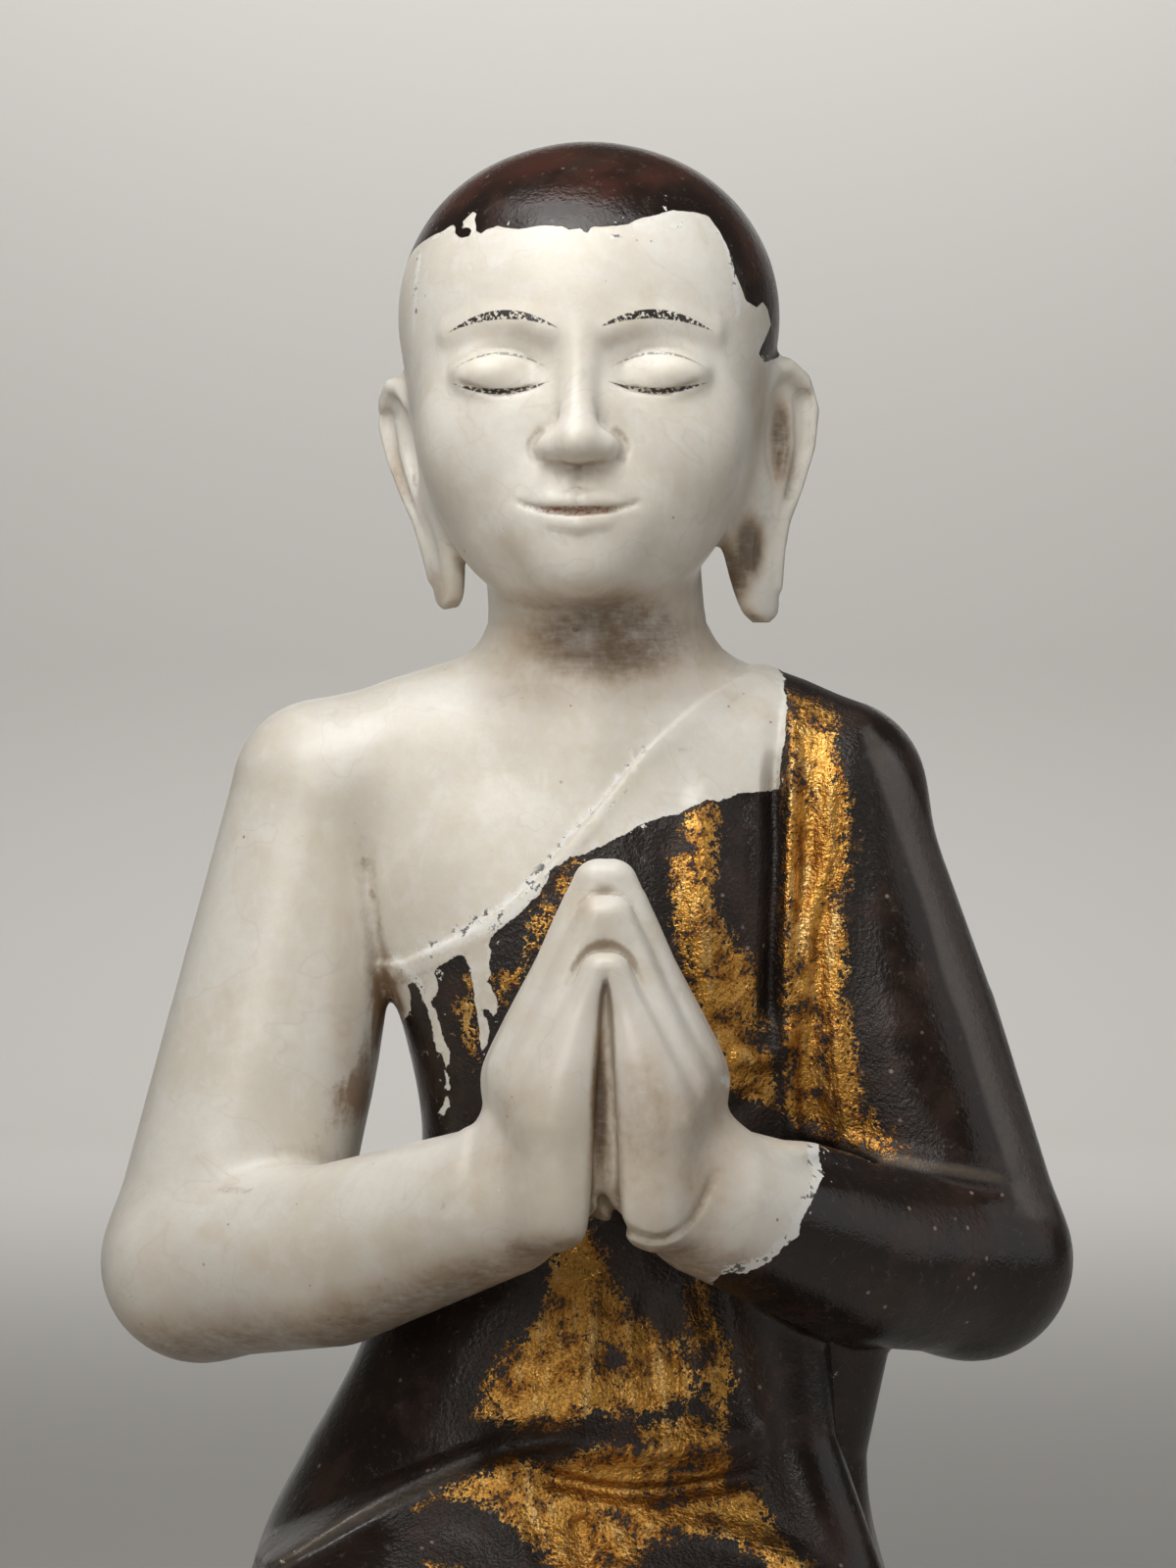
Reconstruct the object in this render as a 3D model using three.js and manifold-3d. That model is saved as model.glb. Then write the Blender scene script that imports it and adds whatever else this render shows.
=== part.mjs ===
// A kneeling monk in white marble with joined hands, his robe lacquered and gilded, carved in one block
// with its low base. Millimetres, +Z up. The figure faces -Y, so its right side is at -X.
// The origin is on the underside, below the neck.
//
// The carving is a distance field: each part of the body is a function of x, y, z that gives the distance
// to its surface, below zero inside. Fields are blended, carved and raised, then one surface is drawn
// through the zero level, thinned to fewer triangles, and cut flat at the underside.
import * as THREE from 'three';
import { mergeVertices } from 'three/addons/utils/BufferGeometryUtils.js';
import Module from 'manifold-3d';

// Driving dimensions, in millimetres
const BASE = { at: [-9, -4], halfWidth: 143, halfDepth: 128, height: 34, square: 3 };
const HEAD = { at: [-4, 3, 500], width: 129, height: 160, turn: [0, 0, -3] };
const HANDS = { x: 1.5, y: -100, z: 227, lean: 6 };
const NECK_RADIUS = 36;
const ROBE_THICK = 1.5;
const BELOW = 8;

// Fineness of the drawn surface
const CELL = 3.6;
const COARSE = 4;
const TRIANGLES = 9300;

const { abs, max, min, sqrt, hypot } = Math;
const clamp = (v, low, high) => max(low, min(high, v));
const lerp = (a, b, t) => a + (b - a) * t;
const smooth = (from, to, v) => {
  const t = clamp((v - from) / (to - from), 0, 1);
  return t * t * (3 - 2 * t);
};

// Joining fields

// Smooth union: two distances, or whole fields, run into each other over a width of about k.
const join = (k, d, e) => {
  const h = max(k - abs(d - e), 0) / k;
  return min(d, e) - h * h * k * 0.25;
};
const blend = (k, ...fields) => (x, y, z) => {
  let d = fields[0](x, y, z);
  for (let i = 1; i < fields.length; i++) d = join(k, d, fields[i](x, y, z));
  return d;
};

// Smooth subtraction of each tool from the body.
const carve = (k, body, ...tools) => {
  const tool = blend(k, ...tools);
  return (x, y, z) => -join(k, -body(x, y, z), tool(x, y, z));
};

// Raises the surface by a height in millimetres, and lowers it where the height is negative.
const raise = (body, height) => (x, y, z) => {
  const d = body(x, y, z);
  return abs(d) < 12 ? d - height(x, y, z) : d;
};

// Moves and turns a field: turn is in degrees about X, Y and Z.
const place = (at, turn, field) => {
  const euler = new THREE.Euler(...turn.map(THREE.MathUtils.degToRad));
  const m = new THREE.Matrix4().makeRotationFromEuler(euler).transpose().elements;
  return (x, y, z) => {
    const [u, v, w] = [x - at[0], y - at[1], z - at[2]];
    return field(
      m[0] * u + m[4] * v + m[8] * w,
      m[1] * u + m[5] * v + m[9] * w,
      m[2] * u + m[6] * v + m[10] * w,
    );
  };
};

const mirror = (field) => (x, y, z) => field(abs(x), y, z);

// Plain fields

const egg = (at, radii, turn = [0, 0, 0]) => {
  const [a, b, c] = radii;
  return place(at, turn, (x, y, z) => {
    const k = sqrt((x / a) ** 2 + (y / b) ** 2 + (z / c) ** 2);
    const g = sqrt((x / (a * a)) ** 2 + (y / (b * b)) ** 2 + (z / (c * c)) ** 2);
    return g > 1e-9 ? (k * (k - 1)) / g : -min(a, b, c);
  });
};

// A chain of round stretches through stations [x, y, z, radius].
const limb = (...stations) => (x, y, z) => {
  let best = Infinity;
  for (let i = 1; i < stations.length; i++) {
    const [ax, ay, az, ar] = stations[i - 1];
    const [bx, by, bz, br] = stations[i];
    const [dx, dy, dz] = [bx - ax, by - ay, bz - az];
    const along = ((x - ax) * dx + (y - ay) * dy + (z - az) * dz) / (dx * dx + dy * dy + dz * dz);
    const t = clamp(along, 0, 1);
    const d = hypot(x - ax - dx * t, y - ay - dy * t, z - az - dz * t) - lerp(ar, br, t);
    best = min(best, d);
  }
  return best;
};

// The value at z on a smooth curve through rows of [z, value, value, ...], as a list of values.
const alongZ = (rows) => {
  const slope = (i, j) => {
    const [a, b] = [rows[max(i - 1, 0)], rows[min(i + 1, rows.length - 1)]];
    return (b[j] - a[j]) / (b[0] - a[0]);
  };
  const slopes = rows.map((row, i) => row.map((_, j) => slope(i, j)));
  return (z) => {
    const at = clamp(z, rows[0][0], rows[rows.length - 1][0]);
    let i = 0;
    while (i < rows.length - 2 && at > rows[i + 1][0]) i++;
    const span = rows[i + 1][0] - rows[i][0];
    const t = (at - rows[i][0]) / span;
    const [t2, t3] = [t * t, t * t * t];
    return rows[i].map(
      (value, j) =>
        (2 * t3 - 3 * t2 + 1) * value +
        (t3 - 2 * t2 + t) * span * slopes[i][j] +
        (3 * t2 - 2 * t3) * rows[i + 1][j] +
        (t3 - t2) * span * slopes[i + 1][j],
    );
  };
};

// Distance to the outline |x/a|^n + |y/b|^n = 1 in the plane.
const ovalDistance = (x, y, a, b, n) => {
  const [u, v] = [abs(x) / a, abs(y) / b];
  const r = (u ** n + v ** n) ** (1 / n);
  if (r < 1e-4) return -min(a, b);
  const g = r ** (1 - n) * hypot(u ** (n - 1) / a, v ** (n - 1) / b);
  return (r - 1) / g;
};

// A solid with oval sections: rows of [z, centreX, centreY, halfWidth, halfDepth, square].
const loft = (rows) => {
  const at = alongZ(rows);
  const [low, high] = [rows[0][0], rows[rows.length - 1][0]];
  return (x, y, z) => {
    const [, cx, cy, a, b, n] = at(z);
    const side = ovalDistance(x - cx, y - cy, a, b, n);
    const end = max(low - z, z - high);
    return end > 0 && side > 0 ? hypot(end, side) : max(end, side);
  };
};

// Relief: heights in millimetres over a surface, drawn in the X-Z plane

// The distance from (x, z) to a smooth line through a few points, and the share of the line up to that place.
const nearestOnLine = (points) => {
  const curve = new THREE.SplineCurve(points.map((p) => new THREE.Vector2(...p)));
  const line = curve.getPoints(4 * points.length);
  return (x, z) => {
    let best = Infinity;
    let share = 0;
    for (let i = 1; i < line.length; i++) {
      const [a, b] = [line[i - 1], line[i]];
      const [dx, dz] = [b.x - a.x, b.y - a.y];
      const t = clamp(((x - a.x) * dx + (z - a.y) * dz) / (dx * dx + dz * dz), 0, 1);
      const away = (x - a.x - dx * t) ** 2 + (z - a.y - dz * t) ** 2;
      if (away < best) share = (i - 1 + t) / (line.length - 1);
      best = min(best, away);
    }
    return [sqrt(best), share];
  };
};

// A ridge, or a groove where the height is negative, along a line. It fades out at both ends.
const fold = (height, width, ...points) => {
  const nearest = nearestOnLine(points);
  const xs = points.map((p) => p[0]);
  const zs = points.map((p) => p[1]);
  const [left, right] = [min(...xs) - 2 * width, max(...xs) + 2 * width];
  const [low, high] = [min(...zs) - 2 * width, max(...zs) + 2 * width];
  return (x, z) => {
    if (x < left || x > right || z < low || z > high) return 0;
    const [distance, share] = nearest(x, z);
    return height * (1 - smooth(0, width, distance)) * smooth(0, 0.15, share) * smooth(1, 0.85, share);
  };
};

const sum = (heights) => (x, z) => heights.reduce((total, h) => total + h(x, z), 0);

// Head, in a frame of its own: the eyes are at height 0, half way between chin and crown, and the face
// is towards -Y

const EYE_X = HEAD.width / 5;
const BROW_Z = 11;
const NOSE_Z = -31;
const MOUTH_Z = -48;

const skull = () =>
  blend(
    18,
    blend(
      6,
      egg([0, 7, 20], [HEAD.width / 2 - 1, 67, HEAD.height / 2 - 20]),
      mirror(egg([14, 7, 22], [48.5, 58, 51.5])),
    ),
    egg([0, -14, -20], [56, 46, 56]),
    egg([0, -25, -50], [37, 33, 29]),
  );

const nose = () =>
  blend(
    5,
    limb([0, -56, BROW_Z - 1, 4.6], [0, -61, -10, 5.2], [0, -66, NOSE_Z + 6, 6.6]),
    egg([0, -66.6, NOSE_Z + 5], [6.8, 7.4, 6]),
    mirror(egg([8.2, -61.2, NOSE_Z + 3.6], [4.9, 6.8, 4.8])),
  );

const lips = () =>
  blend(
    1.4,
    mirror(limb([2.4, -62.7, MOUTH_Z + 3, 3.4], [9, -61, MOUTH_Z + 2.9, 2.9], [19, -55, MOUTH_Z + 2.4, 1.4])),
    mirror(limb([0, -62, MOUTH_Z - 4.2, 4], [8, -60.4, MOUTH_Z - 3.4, 3.5], [16, -56, MOUTH_Z - 0.2, 1.6])),
  );

const face = () => {
  const bare = blend(
    10,
    skull(),
    mirror(egg([30, -33, -22], [23, 21, 26])),
    egg([0, -50, -64], [15, 12, 12]),
    egg([0, -50, MOUTH_Z], [22, 11, 15]),
  );
  const sockets = carve(12, bare, mirror(egg([EYE_X, -68.5, 1], [17, 9, 8.5], [0, 0, -24])));
  const lids = mirror(egg([EYE_X, -45.4, -3], [17, 12.2, 9.5], [0, 0, -24]));
  const brow = limb(
    [10, -57, 11, 1.7], [18, -55, 14.3, 2.2], [EYE_X + 4, -50.4, 15.2, 2.2], [EYE_X + 17, -41.8, 11.4, 1.6],
  );
  return blend(1.6, blend(4, blend(6, sockets, mirror(brow)), blend(4, nose(), lids)), lips());
};

// A long ear is a plate in a frame of its own: u runs out and back from the cheek, w is across it, z is up.
const EAR_ROWS = [
  [-82.5, 5, 0, 2.5, 3, 2.2],
  [-79.5, 4.6, 0, 6.5, 4.4, 2.4],
  [-72, 2.6, 0, 9, 5, 2.6],
  [-62, 0.6, 0, 11, 5.4, 2.6],
  [-52, -1.4, 0, 12.6, 5.4, 2.6],
  [-43, 0.5, 0, 12.5, 5, 2.6],
  [-33, 5, 0, 13.5, 4.6, 2.6],
  [-20, 9.4, 0, 15.6, 4.6, 2.6],
  [-9, 11.4, 0, 15.6, 4.6, 2.6],
  [-1, 11.4, 0, 12.6, 4.4, 2.5],
  [4, 10.4, 0, 7.4, 4, 2.4],
  [6.5, 9.5, 0, 2.5, 3, 2.2],
];
const LEFT_EAR = { at: [55, 0, 0], turn: [0, 0, 48] };
const RIGHT_EAR = { at: [57.5, 0, -4], turn: [0, 10, 62], size: 0.9 };

const ear = () => {
  // the rolled rim runs over the top and down the outer side to the lobe
  const rim = limb(
    [3, -3.6, -4, 2.6], [6, -3.8, 2, 3.2], [13, -4, 3.6, 3.6], [20, -4, -0.5, 3.8], [24, -4, -10, 3.8],
    [22.5, -4, -22, 3.6], [17, -4, -36, 3.2], [11.6, -3.6, -48, 2.8], [9.6, -3.4, -58, 2.6], [9, -3, -70, 2.2],
  );
  const inner = limb([14, -3.4, -10, 1.8], [14.5, -3.6, -22, 2.2], [10, -3.6, -38, 2], [7, -3.2, -48, 1.4]);
  const hollow = limb([19.4, -6.8, -7, 3.4], [18.6, -6.8, -22, 3.4], [13, -6.8, -38, 2.8]);
  const bowl = egg([7, -8, -20], [5.4, 7.6, 18], [0, -4, 0]);
  const lobeHollow = egg([1, -8.4, -58], [5, 4.6, 13], [0, 10, 0]);
  const plate = blend(2.4, loft(EAR_ROWS), rim);
  return blend(1.8, carve(2.4, plate, hollow, bowl, lobeHollow), inner);
};

const ears = () => {
  const left = place(LEFT_EAR.at, LEFT_EAR.turn, ear());
  const [one, size] = [ear(), RIGHT_EAR.size];
  const right = place(RIGHT_EAR.at, RIGHT_EAR.turn, (x, y, z) => size * one(x / size, y / size, z / size));
  return (x, y, z) => (x > 0 ? left(x, y, z) : right(-x, y, z));
};

const head = () => place(HEAD.at, HEAD.turn, blend(5, face(), ears()));

// Body

const torso = () =>
  loft([
    [40, -8, 14, 110, 92, 2.4],
    [80, -12, 12, 107, 82, 2.4],
    [110, -11, 9, 101, 70, 2.3],
    [140, -5, 5, 92, 60, 2.2],
    [170, -1, 3, 80, 55, 2.2],
    [200, 0.5, 2, 69.5, 51, 2.2],
    [240, 1.5, 3, 60, 47, 2.2],
    [280, 0.5, 4, 65, 49, 2.3],
    [315, -2, 5, 76, 51, 2.4],
    [345, -3, 6, 78, 48, 2.4],
    [372, -2, 7, 66, 39, 2.3],
    [392, 0, 7, 48, 29, 2.1],
  ]);

const shoulders = () =>
  blend(
    10,
    limb([-12, 6, 383, 27], [-92, 5, 363, 28.5]),
    limb([12, 6, 383, 27], [79, 5, 361.5, 27.5]),
    mirror(limb([20, 7, 397, 16], [60, 6, 379, 18])),
  );

const neck = () =>
  limb([0, 7, 380, NECK_RADIUS + 5], [0, 5.5, 404, NECK_RADIUS + 0.6], [-3, 8, 450, NECK_RADIUS]);

const rightArm = () =>
  blend(
    7,
    limb([-95.5, 5, 361, 28.4], [-112, 3, 277, 34.4], [-133.5, -4, 203, 32.4]),
    limb([-92, 3, 318, 24], [-101, 0, 262, 24.5], [-108, -2, 235, 26]),
    limb([-133.5, -6, 202.5, 32], [-88, -46, 208.5, 29.8], [-33, -91, 230, 24.5]),
  );

const leftUpperArm = () => limb([78, 5, 358, 27.5], [98, 3, 279, 35.5], [124.5, -4, 204, 31.8]);
const leftForearm = () => limb([124.5, -6, 203.5, 31.8], [85, -46, 209, 30], [36, -91, 230, 24.5]);

// One hand, thumb side towards the chest: x is out from the plane where the palms meet, z is up from the
// heel.
// The back of the hand is turned, so that its little finger is in front and near that plane.
const hand = () => {
  const mitten = loft([
    [6, 0, 0, 12, 22, 2.2],
    [24, 1, 0, 15, 27, 2.3],
    [43, 0.5, 0, 15.5, 28, 2.4],
    [60, -3.5, 0, 12.6, 24.5, 2.4],
    [78, -8, 1, 8.6, 17, 2.3],
    [92, -11, 0, 6, 10, 2.2],
    [100, -12.5, 0, 4, 4.5, 2],
  ]);
  const heel = egg([15, -16, 9], [11.5, 13, 17], [0, -4, 0]);
  const thumbMount = egg([21, 15, 20], [12, 13, 22]);
  // Each finger from its root to its tip. The little finger's side of the hand runs on down to the heel.
  const fingers = [
    [[14, -17, 4, 9.6], [16, -17.5, 32, 11], [4, -15, 80, 4.7]],
    [[22, -8, 42, 10], [4.3, -5.4, 96, 5.1]],
    [[26, 2, 46, 10], [4.8, 4.2, 106, 5.3]],
    [[28, 12.9, 42, 9.4], [5, 13.4, 98.6, 5.2]],
  ].map((stations) => limb(...stations));
  const thumb = limb([15, 22, 24, 9.5], [11, 30, 45, 7.8], [7, 26, 66, 6.2]);
  const palm = blend(6, place([19, 0, 0], [0, 0, -22], mitten), heel, thumbMount);
  // the lines between the fingers, cut into the back of the hand
  const lines = sum([
    fold(-1.5, 3.4, [9, 80], [16, 66], [26, 47]),
    fold(-1.1, 3, [13, 87], [20, 73], [28, 58]),
  ]);
  return raise(blend(5, palm, blend(1.2, ...fingers), thumb), (x, y, z) => lines(x, z) * smooth(6, 0, y));
};

// The narrow channel between the hands, in front: rows of [height, half width, its floor's y].
const CHANNEL = alongZ([
  [-20, 4.8, -16],
  [10, 4.2, -19],
  [40, 3, -19.5],
  [66, 1.4, -17],
  [76, 0.2, -17],
  [84, -3, -17],
  [110, -3, -17],
]);

const joinedHands = () => {
  const one = hand();
  const web = egg([0, 2, 42], [8, 20, 44]);
  // the two hands run into each other, and the valley between the fingertips is filled
  const both = (x, y, z) => {
    const filled = 2.2 * smooth(64, 86, z) * (1 - smooth(0, 6, abs(x)));
    return one(hypot(x, 2), y, z) - filled;
  };
  const pair = blend(1.4, both, web);
  const channelled = (x, y, z) => {
    const [, half, bottom] = CHANNEL(z);
    return -join(3, -pair(x, y, z), max(abs(x) - half, y - bottom));
  };
  return place([HANDS.x, HANDS.y, HANDS.z], [HANDS.lean, 0, 0], channelled);
};

// Robe

// The height of the robe's edge over x, in front and behind: low under the right arm, high on the left
// shoulder.
const robeEdge = alongZ([
  [-66, 305], [-52, 311.5], [-40, 318], [-22, 332], [-2, 355], [15, 375], [35, 393], [62, 410],
]);

const frontFolds = () =>
  sum([
    // the folded strip over the left shoulder, and the channel beside it
    fold(2.2, 8, [84, 384], [82, 350], [80, 324], [78, 298], [79, 262], [84, 232]),
    fold(2.4, 5, [64, 392], [63.5, 350], [62.5, 300], [63, 262], [66, 236]),
    fold(2.2, 5, [78, 378], [75.2, 352], [74.3, 336], [69.3, 316], [67.8, 298], [66, 272]),
    fold(-1.6, 5.5, [61, 398], [58, 366], [57, 340], [56, 312], [55.5, 280]),
    fold(-3.2, 5.5, [57.8, 376], [57, 340], [56, 312], [55.5, 280]),
    // the turned end of the cloth, and the gathers that run from it over the chest
    fold(2, 6, [64, 284], [56, 272], [42, 273]),
    fold(1.8, 8, [33, 366], [34.5, 322], [37, 280]),
    fold(-1.3, 6, [46.5, 362], [47.5, 330], [46, 290]),
    fold(-1.5, 6, [22, 350], [24, 318], [28, 280]),
    fold(-1.8, 6, [54, 262], [40, 252], [26, 236]),
    // the folds of the belly
    fold(1.5, 7, [2, 206], [-4, 178], [0, 160]),
    fold(1.6, 6, [24, 200], [32, 180], [34, 160]),
    fold(-1.4, 5, [14, 198], [16, 178], [18, 162]),
  ]);

const backFolds = () => {
  const folds = [fold(3, 12, [70, 400], [66, 330], [60, 250], [58, 180])];
  for (let n = 0; n < 6; n++) {
    const drop = 30 * n;
    const line = [[52, 372 - drop], [10, 338 - 1.15 * drop], [-30, 296 - 1.1 * drop], [-66, 276 - drop]];
    folds.push(fold(-1.6, 4, ...line));
  }
  return sum(folds);
};

const robeRelief = () => {
  const [front, back] = [frontFolds(), backFolds()];
  return (x, y, z) => {
    const below = robeEdge(x)[1] - z;
    const lip = 0.4 * smooth(9, 7, below) * smooth(0, 2, below);
    const cloth = ROBE_THICK * smooth(0, 2.2, below) + lip;
    return cloth + smooth(0, 4, below) * (front(x, z) * smooth(12, -2, y) + back(x, z) * smooth(4, 16, y));
  };
};

// The cloth between the left arm and the side, and the fall of cloth from the left forearm beside the lap.
const sleeve = () => egg([66, 6, 288], [42, 30, 68], [0, 8, 0]);
const fallOfCloth = () =>
  blend(
    6,
    limb([57, -37, 198, 16], [63, -36, 146, 15], [78, -40, 96, 17]),
    limb([84, -20, 190, 15], [75, -12, 140, 14], [71, -12, 88, 17]),
  );

// The crease between the upper arm and the forearm, in the cloth that covers both.
const sleeveRelief = () => {
  const crease = sum([
    fold(1.6, 5, [58, 249], [80, 244.5], [98, 241], [116, 238], [142, 235]),
    fold(-1.4, 5, [58, 242], [80, 237.5], [98, 233.5], [116, 230.5], [140, 228]),
  ]);
  return (x, y, z) => crease(x, z) * smooth(0, -12, y);
};

// Lap, legs and feet

// The legs are folded under the body, the knees well apart, and the robe covers them down to the base.
const legs = () =>
  blend(
    24,
    loft([
      [20, -9, -9, 118, 104, 2.7],
      [55, -9, -9, 117, 103, 2.7],
      [80, -9, -6, 110, 96, 2.6],
      [100, -9, 1, 101, 84, 2.5],
      [122, -9, 7, 93, 66, 2.4],
      [140, -6, 6, 86, 54, 2.3],
    ]),
    limb([-38, 6, 108, 42], [-96, -80, 62, 38]),
    limb([36, 6, 92, 42], [76, -84, 57, 36]),
    egg([-9, 62, 84], [80, 42, 44]),
  );

const lapRelief = () => {
  const front = sum([
    // the cloth gathered round the waist, with a crease under it
    fold(5, 10, [-40, 147], [-16, 149], [16, 147], [56, 149]),
    fold(-3.4, 5, [-22, 138], [12, 132], [54, 137]),
    // the crests of the thighs
    fold(4.2, 5.5, [-4, 153], [-20, 150], [-39, 144.6], [-70, 131], [-100, 114.5], [-124, 100]),
    fold(2.8, 6, [9, 124], [38, 120], [70, 110]),
    fold(-2.8, 7, [-8, 126], [-4, 104], [-6, 64]),
    fold(1.8, 5, [-28, 128], [-22, 100], [-30, 70]),
    fold(-1.8, 5, [18, 110], [24, 86], [18, 58]),
    fold(-1.8, 5, [-50, 104], [-52, 80], [-44, 58]),
    fold(-1.6, 5, [-84, 86], [-80, 68], [-66, 52]),
    fold(-1.6, 5, [62, 92], [58, 72], [44, 54]),
  ]);
  const back = sum([
    fold(-2.2, 6, [-90, 128], [-20, 112], [62, 130]),
    fold(-2.2, 6, [-94, 100], [-14, 86], [66, 104]),
    fold(-2, 6, [-70, 74], [-10, 62], [46, 76]),
  ]);
  // the border of the cloth along its lower edge
  const hem = (z) => 1.6 * smooth(56, 54, z);
  return (x, y, z) => front(x, z) * smooth(0, -24, y) + back(x, z) * smooth(20, 40, y) + hem(z);
};

// The soles under the seat, toes to the back.
const feet = () => {
  const sole = limb([24, 72, 56, 16], [30, 98, 47, 12]);
  const toes = [0, 1, 2, 3, 4].map((n) =>
    limb([19 + 5.6 * n, 98, 44, 6.2 - 0.4 * n], [18 + 6 * n, 115 - 2 * n, 41, 5.2 - 0.4 * n]),
  );
  return place([-9, 0, 0], [0, 0, 0], mirror(blend(4, sole, blend(1.5, ...toes))));
};

// The low base, with a shallow groove under its upper edge. It runs on below the underside, where it is cut
// off later.
const plinth = () => (x, y, z) => {
  const side = ovalDistance(x - BASE.at[0], y - BASE.at[1], BASE.halfWidth, BASE.halfDepth, BASE.square);
  const groove = 1.8 * (1 - smooth(0, 3, abs(z - BASE.height + 11)));
  const [wall, top] = [side + groove, z - BASE.height];
  const h = max(6 - abs(wall - top), 0) / 6;
  return max(max(wall, top) + h * h * 1.5, -BELOW - z);
};

const statue = () => {
  const trunk = blend(14, torso(), shoulders());
  const robed = raise(blend(12, trunk, sleeve(), leftUpperArm()), robeRelief());
  const cloaked = raise(blend(7, robed, leftForearm()), sleeveRelief());
  const body = raise(blend(5, blend(10, cloaked, legs()), fallOfCloth()), lapRelief());
  const upper = blend(14, neck(), blend(5, body, rightArm()));
  const hands = joinedHands();
  // the heels of the hands run smoothly into the wrists, with a line round each
  const heelLines = sum([
    fold(-1.1, 2.6, [-2, 236], [1.5, 230], [9, 223.6], [18, 221], [26, 225], [32, 233], [37, 244]),
    fold(-0.9, 4, [-43, 268], [-40, 254], [-42, 240], [-50, 226]),
  ]);
  const handed = (x, y, z) => {
    const wrists = smooth(-80, -94, y) * smooth(272, 246, z);
    return join(5 + 11 * wrists, upper(x, y, z), hands(x, y, z)) - wrists * heelLines(x, z);
  };
  return blend(3, blend(6, handed, head()), feet(), plinth());
};

// Drawing the surface

// Six tetrahedra fill a cell of the grid, and all of them share the cell's long diagonal.
const CORNERS = [0, 1, 2, 3, 4, 5, 6, 7].map((i) => [i & 1, (i >> 1) & 1, (i >> 2) & 1]);
const TETRAHEDRA = [
  [0, 1, 3, 7], [0, 3, 2, 7], [0, 2, 6, 7], [0, 6, 4, 7], [0, 4, 5, 7], [0, 5, 1, 7],
];

// Field values on a grid. Only cells near the surface are worked out finely.
const sample = (field, [low, high]) => {
  const size = low.map((v, i) => COARSE * Math.ceil((high[i] - v) / (CELL * COARSE)));
  const count = size.map((n) => n + 1);
  const values = new Float32Array(count[0] * count[1] * count[2]).fill(1e3);
  const index = (i, j, k) => (k * count[1] + j) * count[0] + i;
  const reach = CELL * COARSE * 1.3;
  for (let k = 0; k < size[2]; k += COARSE)
    for (let j = 0; j < size[1]; j += COARSE)
      for (let i = 0; i < size[0]; i += COARSE) {
        const middle = [i, j, k].map((v, axis) => low[axis] + (v + COARSE / 2) * CELL);
        const near = field(...middle);
        const far = abs(near) > reach;
        for (let c = k; c <= k + COARSE; c++)
          for (let b = j; b <= j + COARSE; b++)
            for (let a = i; a <= i + COARSE; a++) {
              const at = index(a, b, c);
              if (abs(values[at]) < 900) continue;
              values[at] = far
                ? near < 0 ? -1e3 : 1e3
                : field(low[0] + a * CELL, low[1] + b * CELL, low[2] + c * CELL) || 1e-6;
            }
      }
  return { values, size, index, low };
};

// The zero level of the grid as vertices and triangles that face out.
const draw = ({ values, size, index, low }) => {
  const vertices = [];
  const triangles = [];
  const made = new Map();
  const crossing = (p, q) => {
    const [a, b] = p.at < q.at ? [p, q] : [q, p];
    const key = a.at * 8388608 + (b.at - a.at);
    if (!made.has(key)) {
      const t = clamp(a.d / (a.d - b.d), 0.01, 0.99);
      made.set(key, vertices.length / 3);
      for (let axis = 0; axis < 3; axis++)
        vertices.push(low[axis] + CELL * lerp(a.cell[axis], b.cell[axis], t));
    }
    return made.get(key);
  };
  for (let k = 0; k < size[2]; k++)
    for (let j = 0; j < size[1]; j++)
      for (let i = 0; i < size[0]; i++) {
        const here = CORNERS.map(([a, b, c]) => values[index(i + a, j + b, k + c)]);
        const inside = here.filter((d) => d < 0).length;
        if (inside === 0 || inside === 8) continue;
        const corners = CORNERS.map(([a, b, c], n) => ({
          cell: [i + a, j + b, k + c],
          at: index(i + a, j + b, k + c),
          d: here[n],
        }));
        for (const tetrahedron of TETRAHEDRA) {
          const four = tetrahedron.map((n) => corners[n]);
          const inner = four.filter((p) => p.d < 0);
          const outer = four.filter((p) => p.d >= 0);
          if (!inner.length || !outer.length) continue;
          const ring =
            inner.length === 2
              ? [[0, 0], [0, 1], [1, 1], [1, 0]].map(([a, b]) => crossing(inner[a], outer[b]))
              : inner.flatMap((p) => outer.map((q) => crossing(p, q)));
          const at = (n) => new THREE.Vector3(...vertices.slice(3 * n, 3 * n + 3));
          const normal = at(ring[1]).sub(at(ring[0])).cross(at(ring[2]).sub(at(ring[0])));
          const outward = new THREE.Vector3(...outer[0].cell).sub(new THREE.Vector3(...inner[0].cell));
          if (normal.dot(outward) < 0) ring.reverse();
          for (let n = 2; n < ring.length; n++) triangles.push(ring[0], ring[n - 1], ring[n]);
        }
      }
  return { vertices, triangles };
};

// Thinning the surface: edges are collapsed, the least change of shape first

// A heap of edges, the cheapest on top.
const makeHeap = () => {
  const items = [];
  const swap = (i, j) => {
    [items[i], items[j]] = [items[j], items[i]];
  };
  return {
    push(item) {
      items.push(item);
      let i = items.length - 1;
      while (i > 0 && items[(i - 1) >> 1].cost > items[i].cost) {
        swap(i, (i - 1) >> 1);
        i = (i - 1) >> 1;
      }
    },
    pop() {
      const top = items[0];
      const last = items.pop();
      if (items.length === 0) return top;
      items[0] = last;
      let i = 0;
      for (;;) {
        let least = i;
        for (const child of [2 * i + 1, 2 * i + 2])
          if (child < items.length && items[child].cost < items[least].cost) least = child;
        if (least === i) return top;
        swap(i, least);
        i = least;
      }
    },
    get size() {
      return items.length;
    },
  };
};

// The squared distances to a set of planes, as ten sums over a*a, a*b, a*c, a*d, b*b, b*c, b*d, c*c, c*d
// and d*d.
const addPlane = (q, at, [a, b, c, d], weight) => {
  const products = [a * a, a * b, a * c, a * d, b * b, b * c, b * d, c * c, c * d, d * d];
  products.forEach((value, n) => {
    q[at + n] += weight * value;
  });
};

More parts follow.
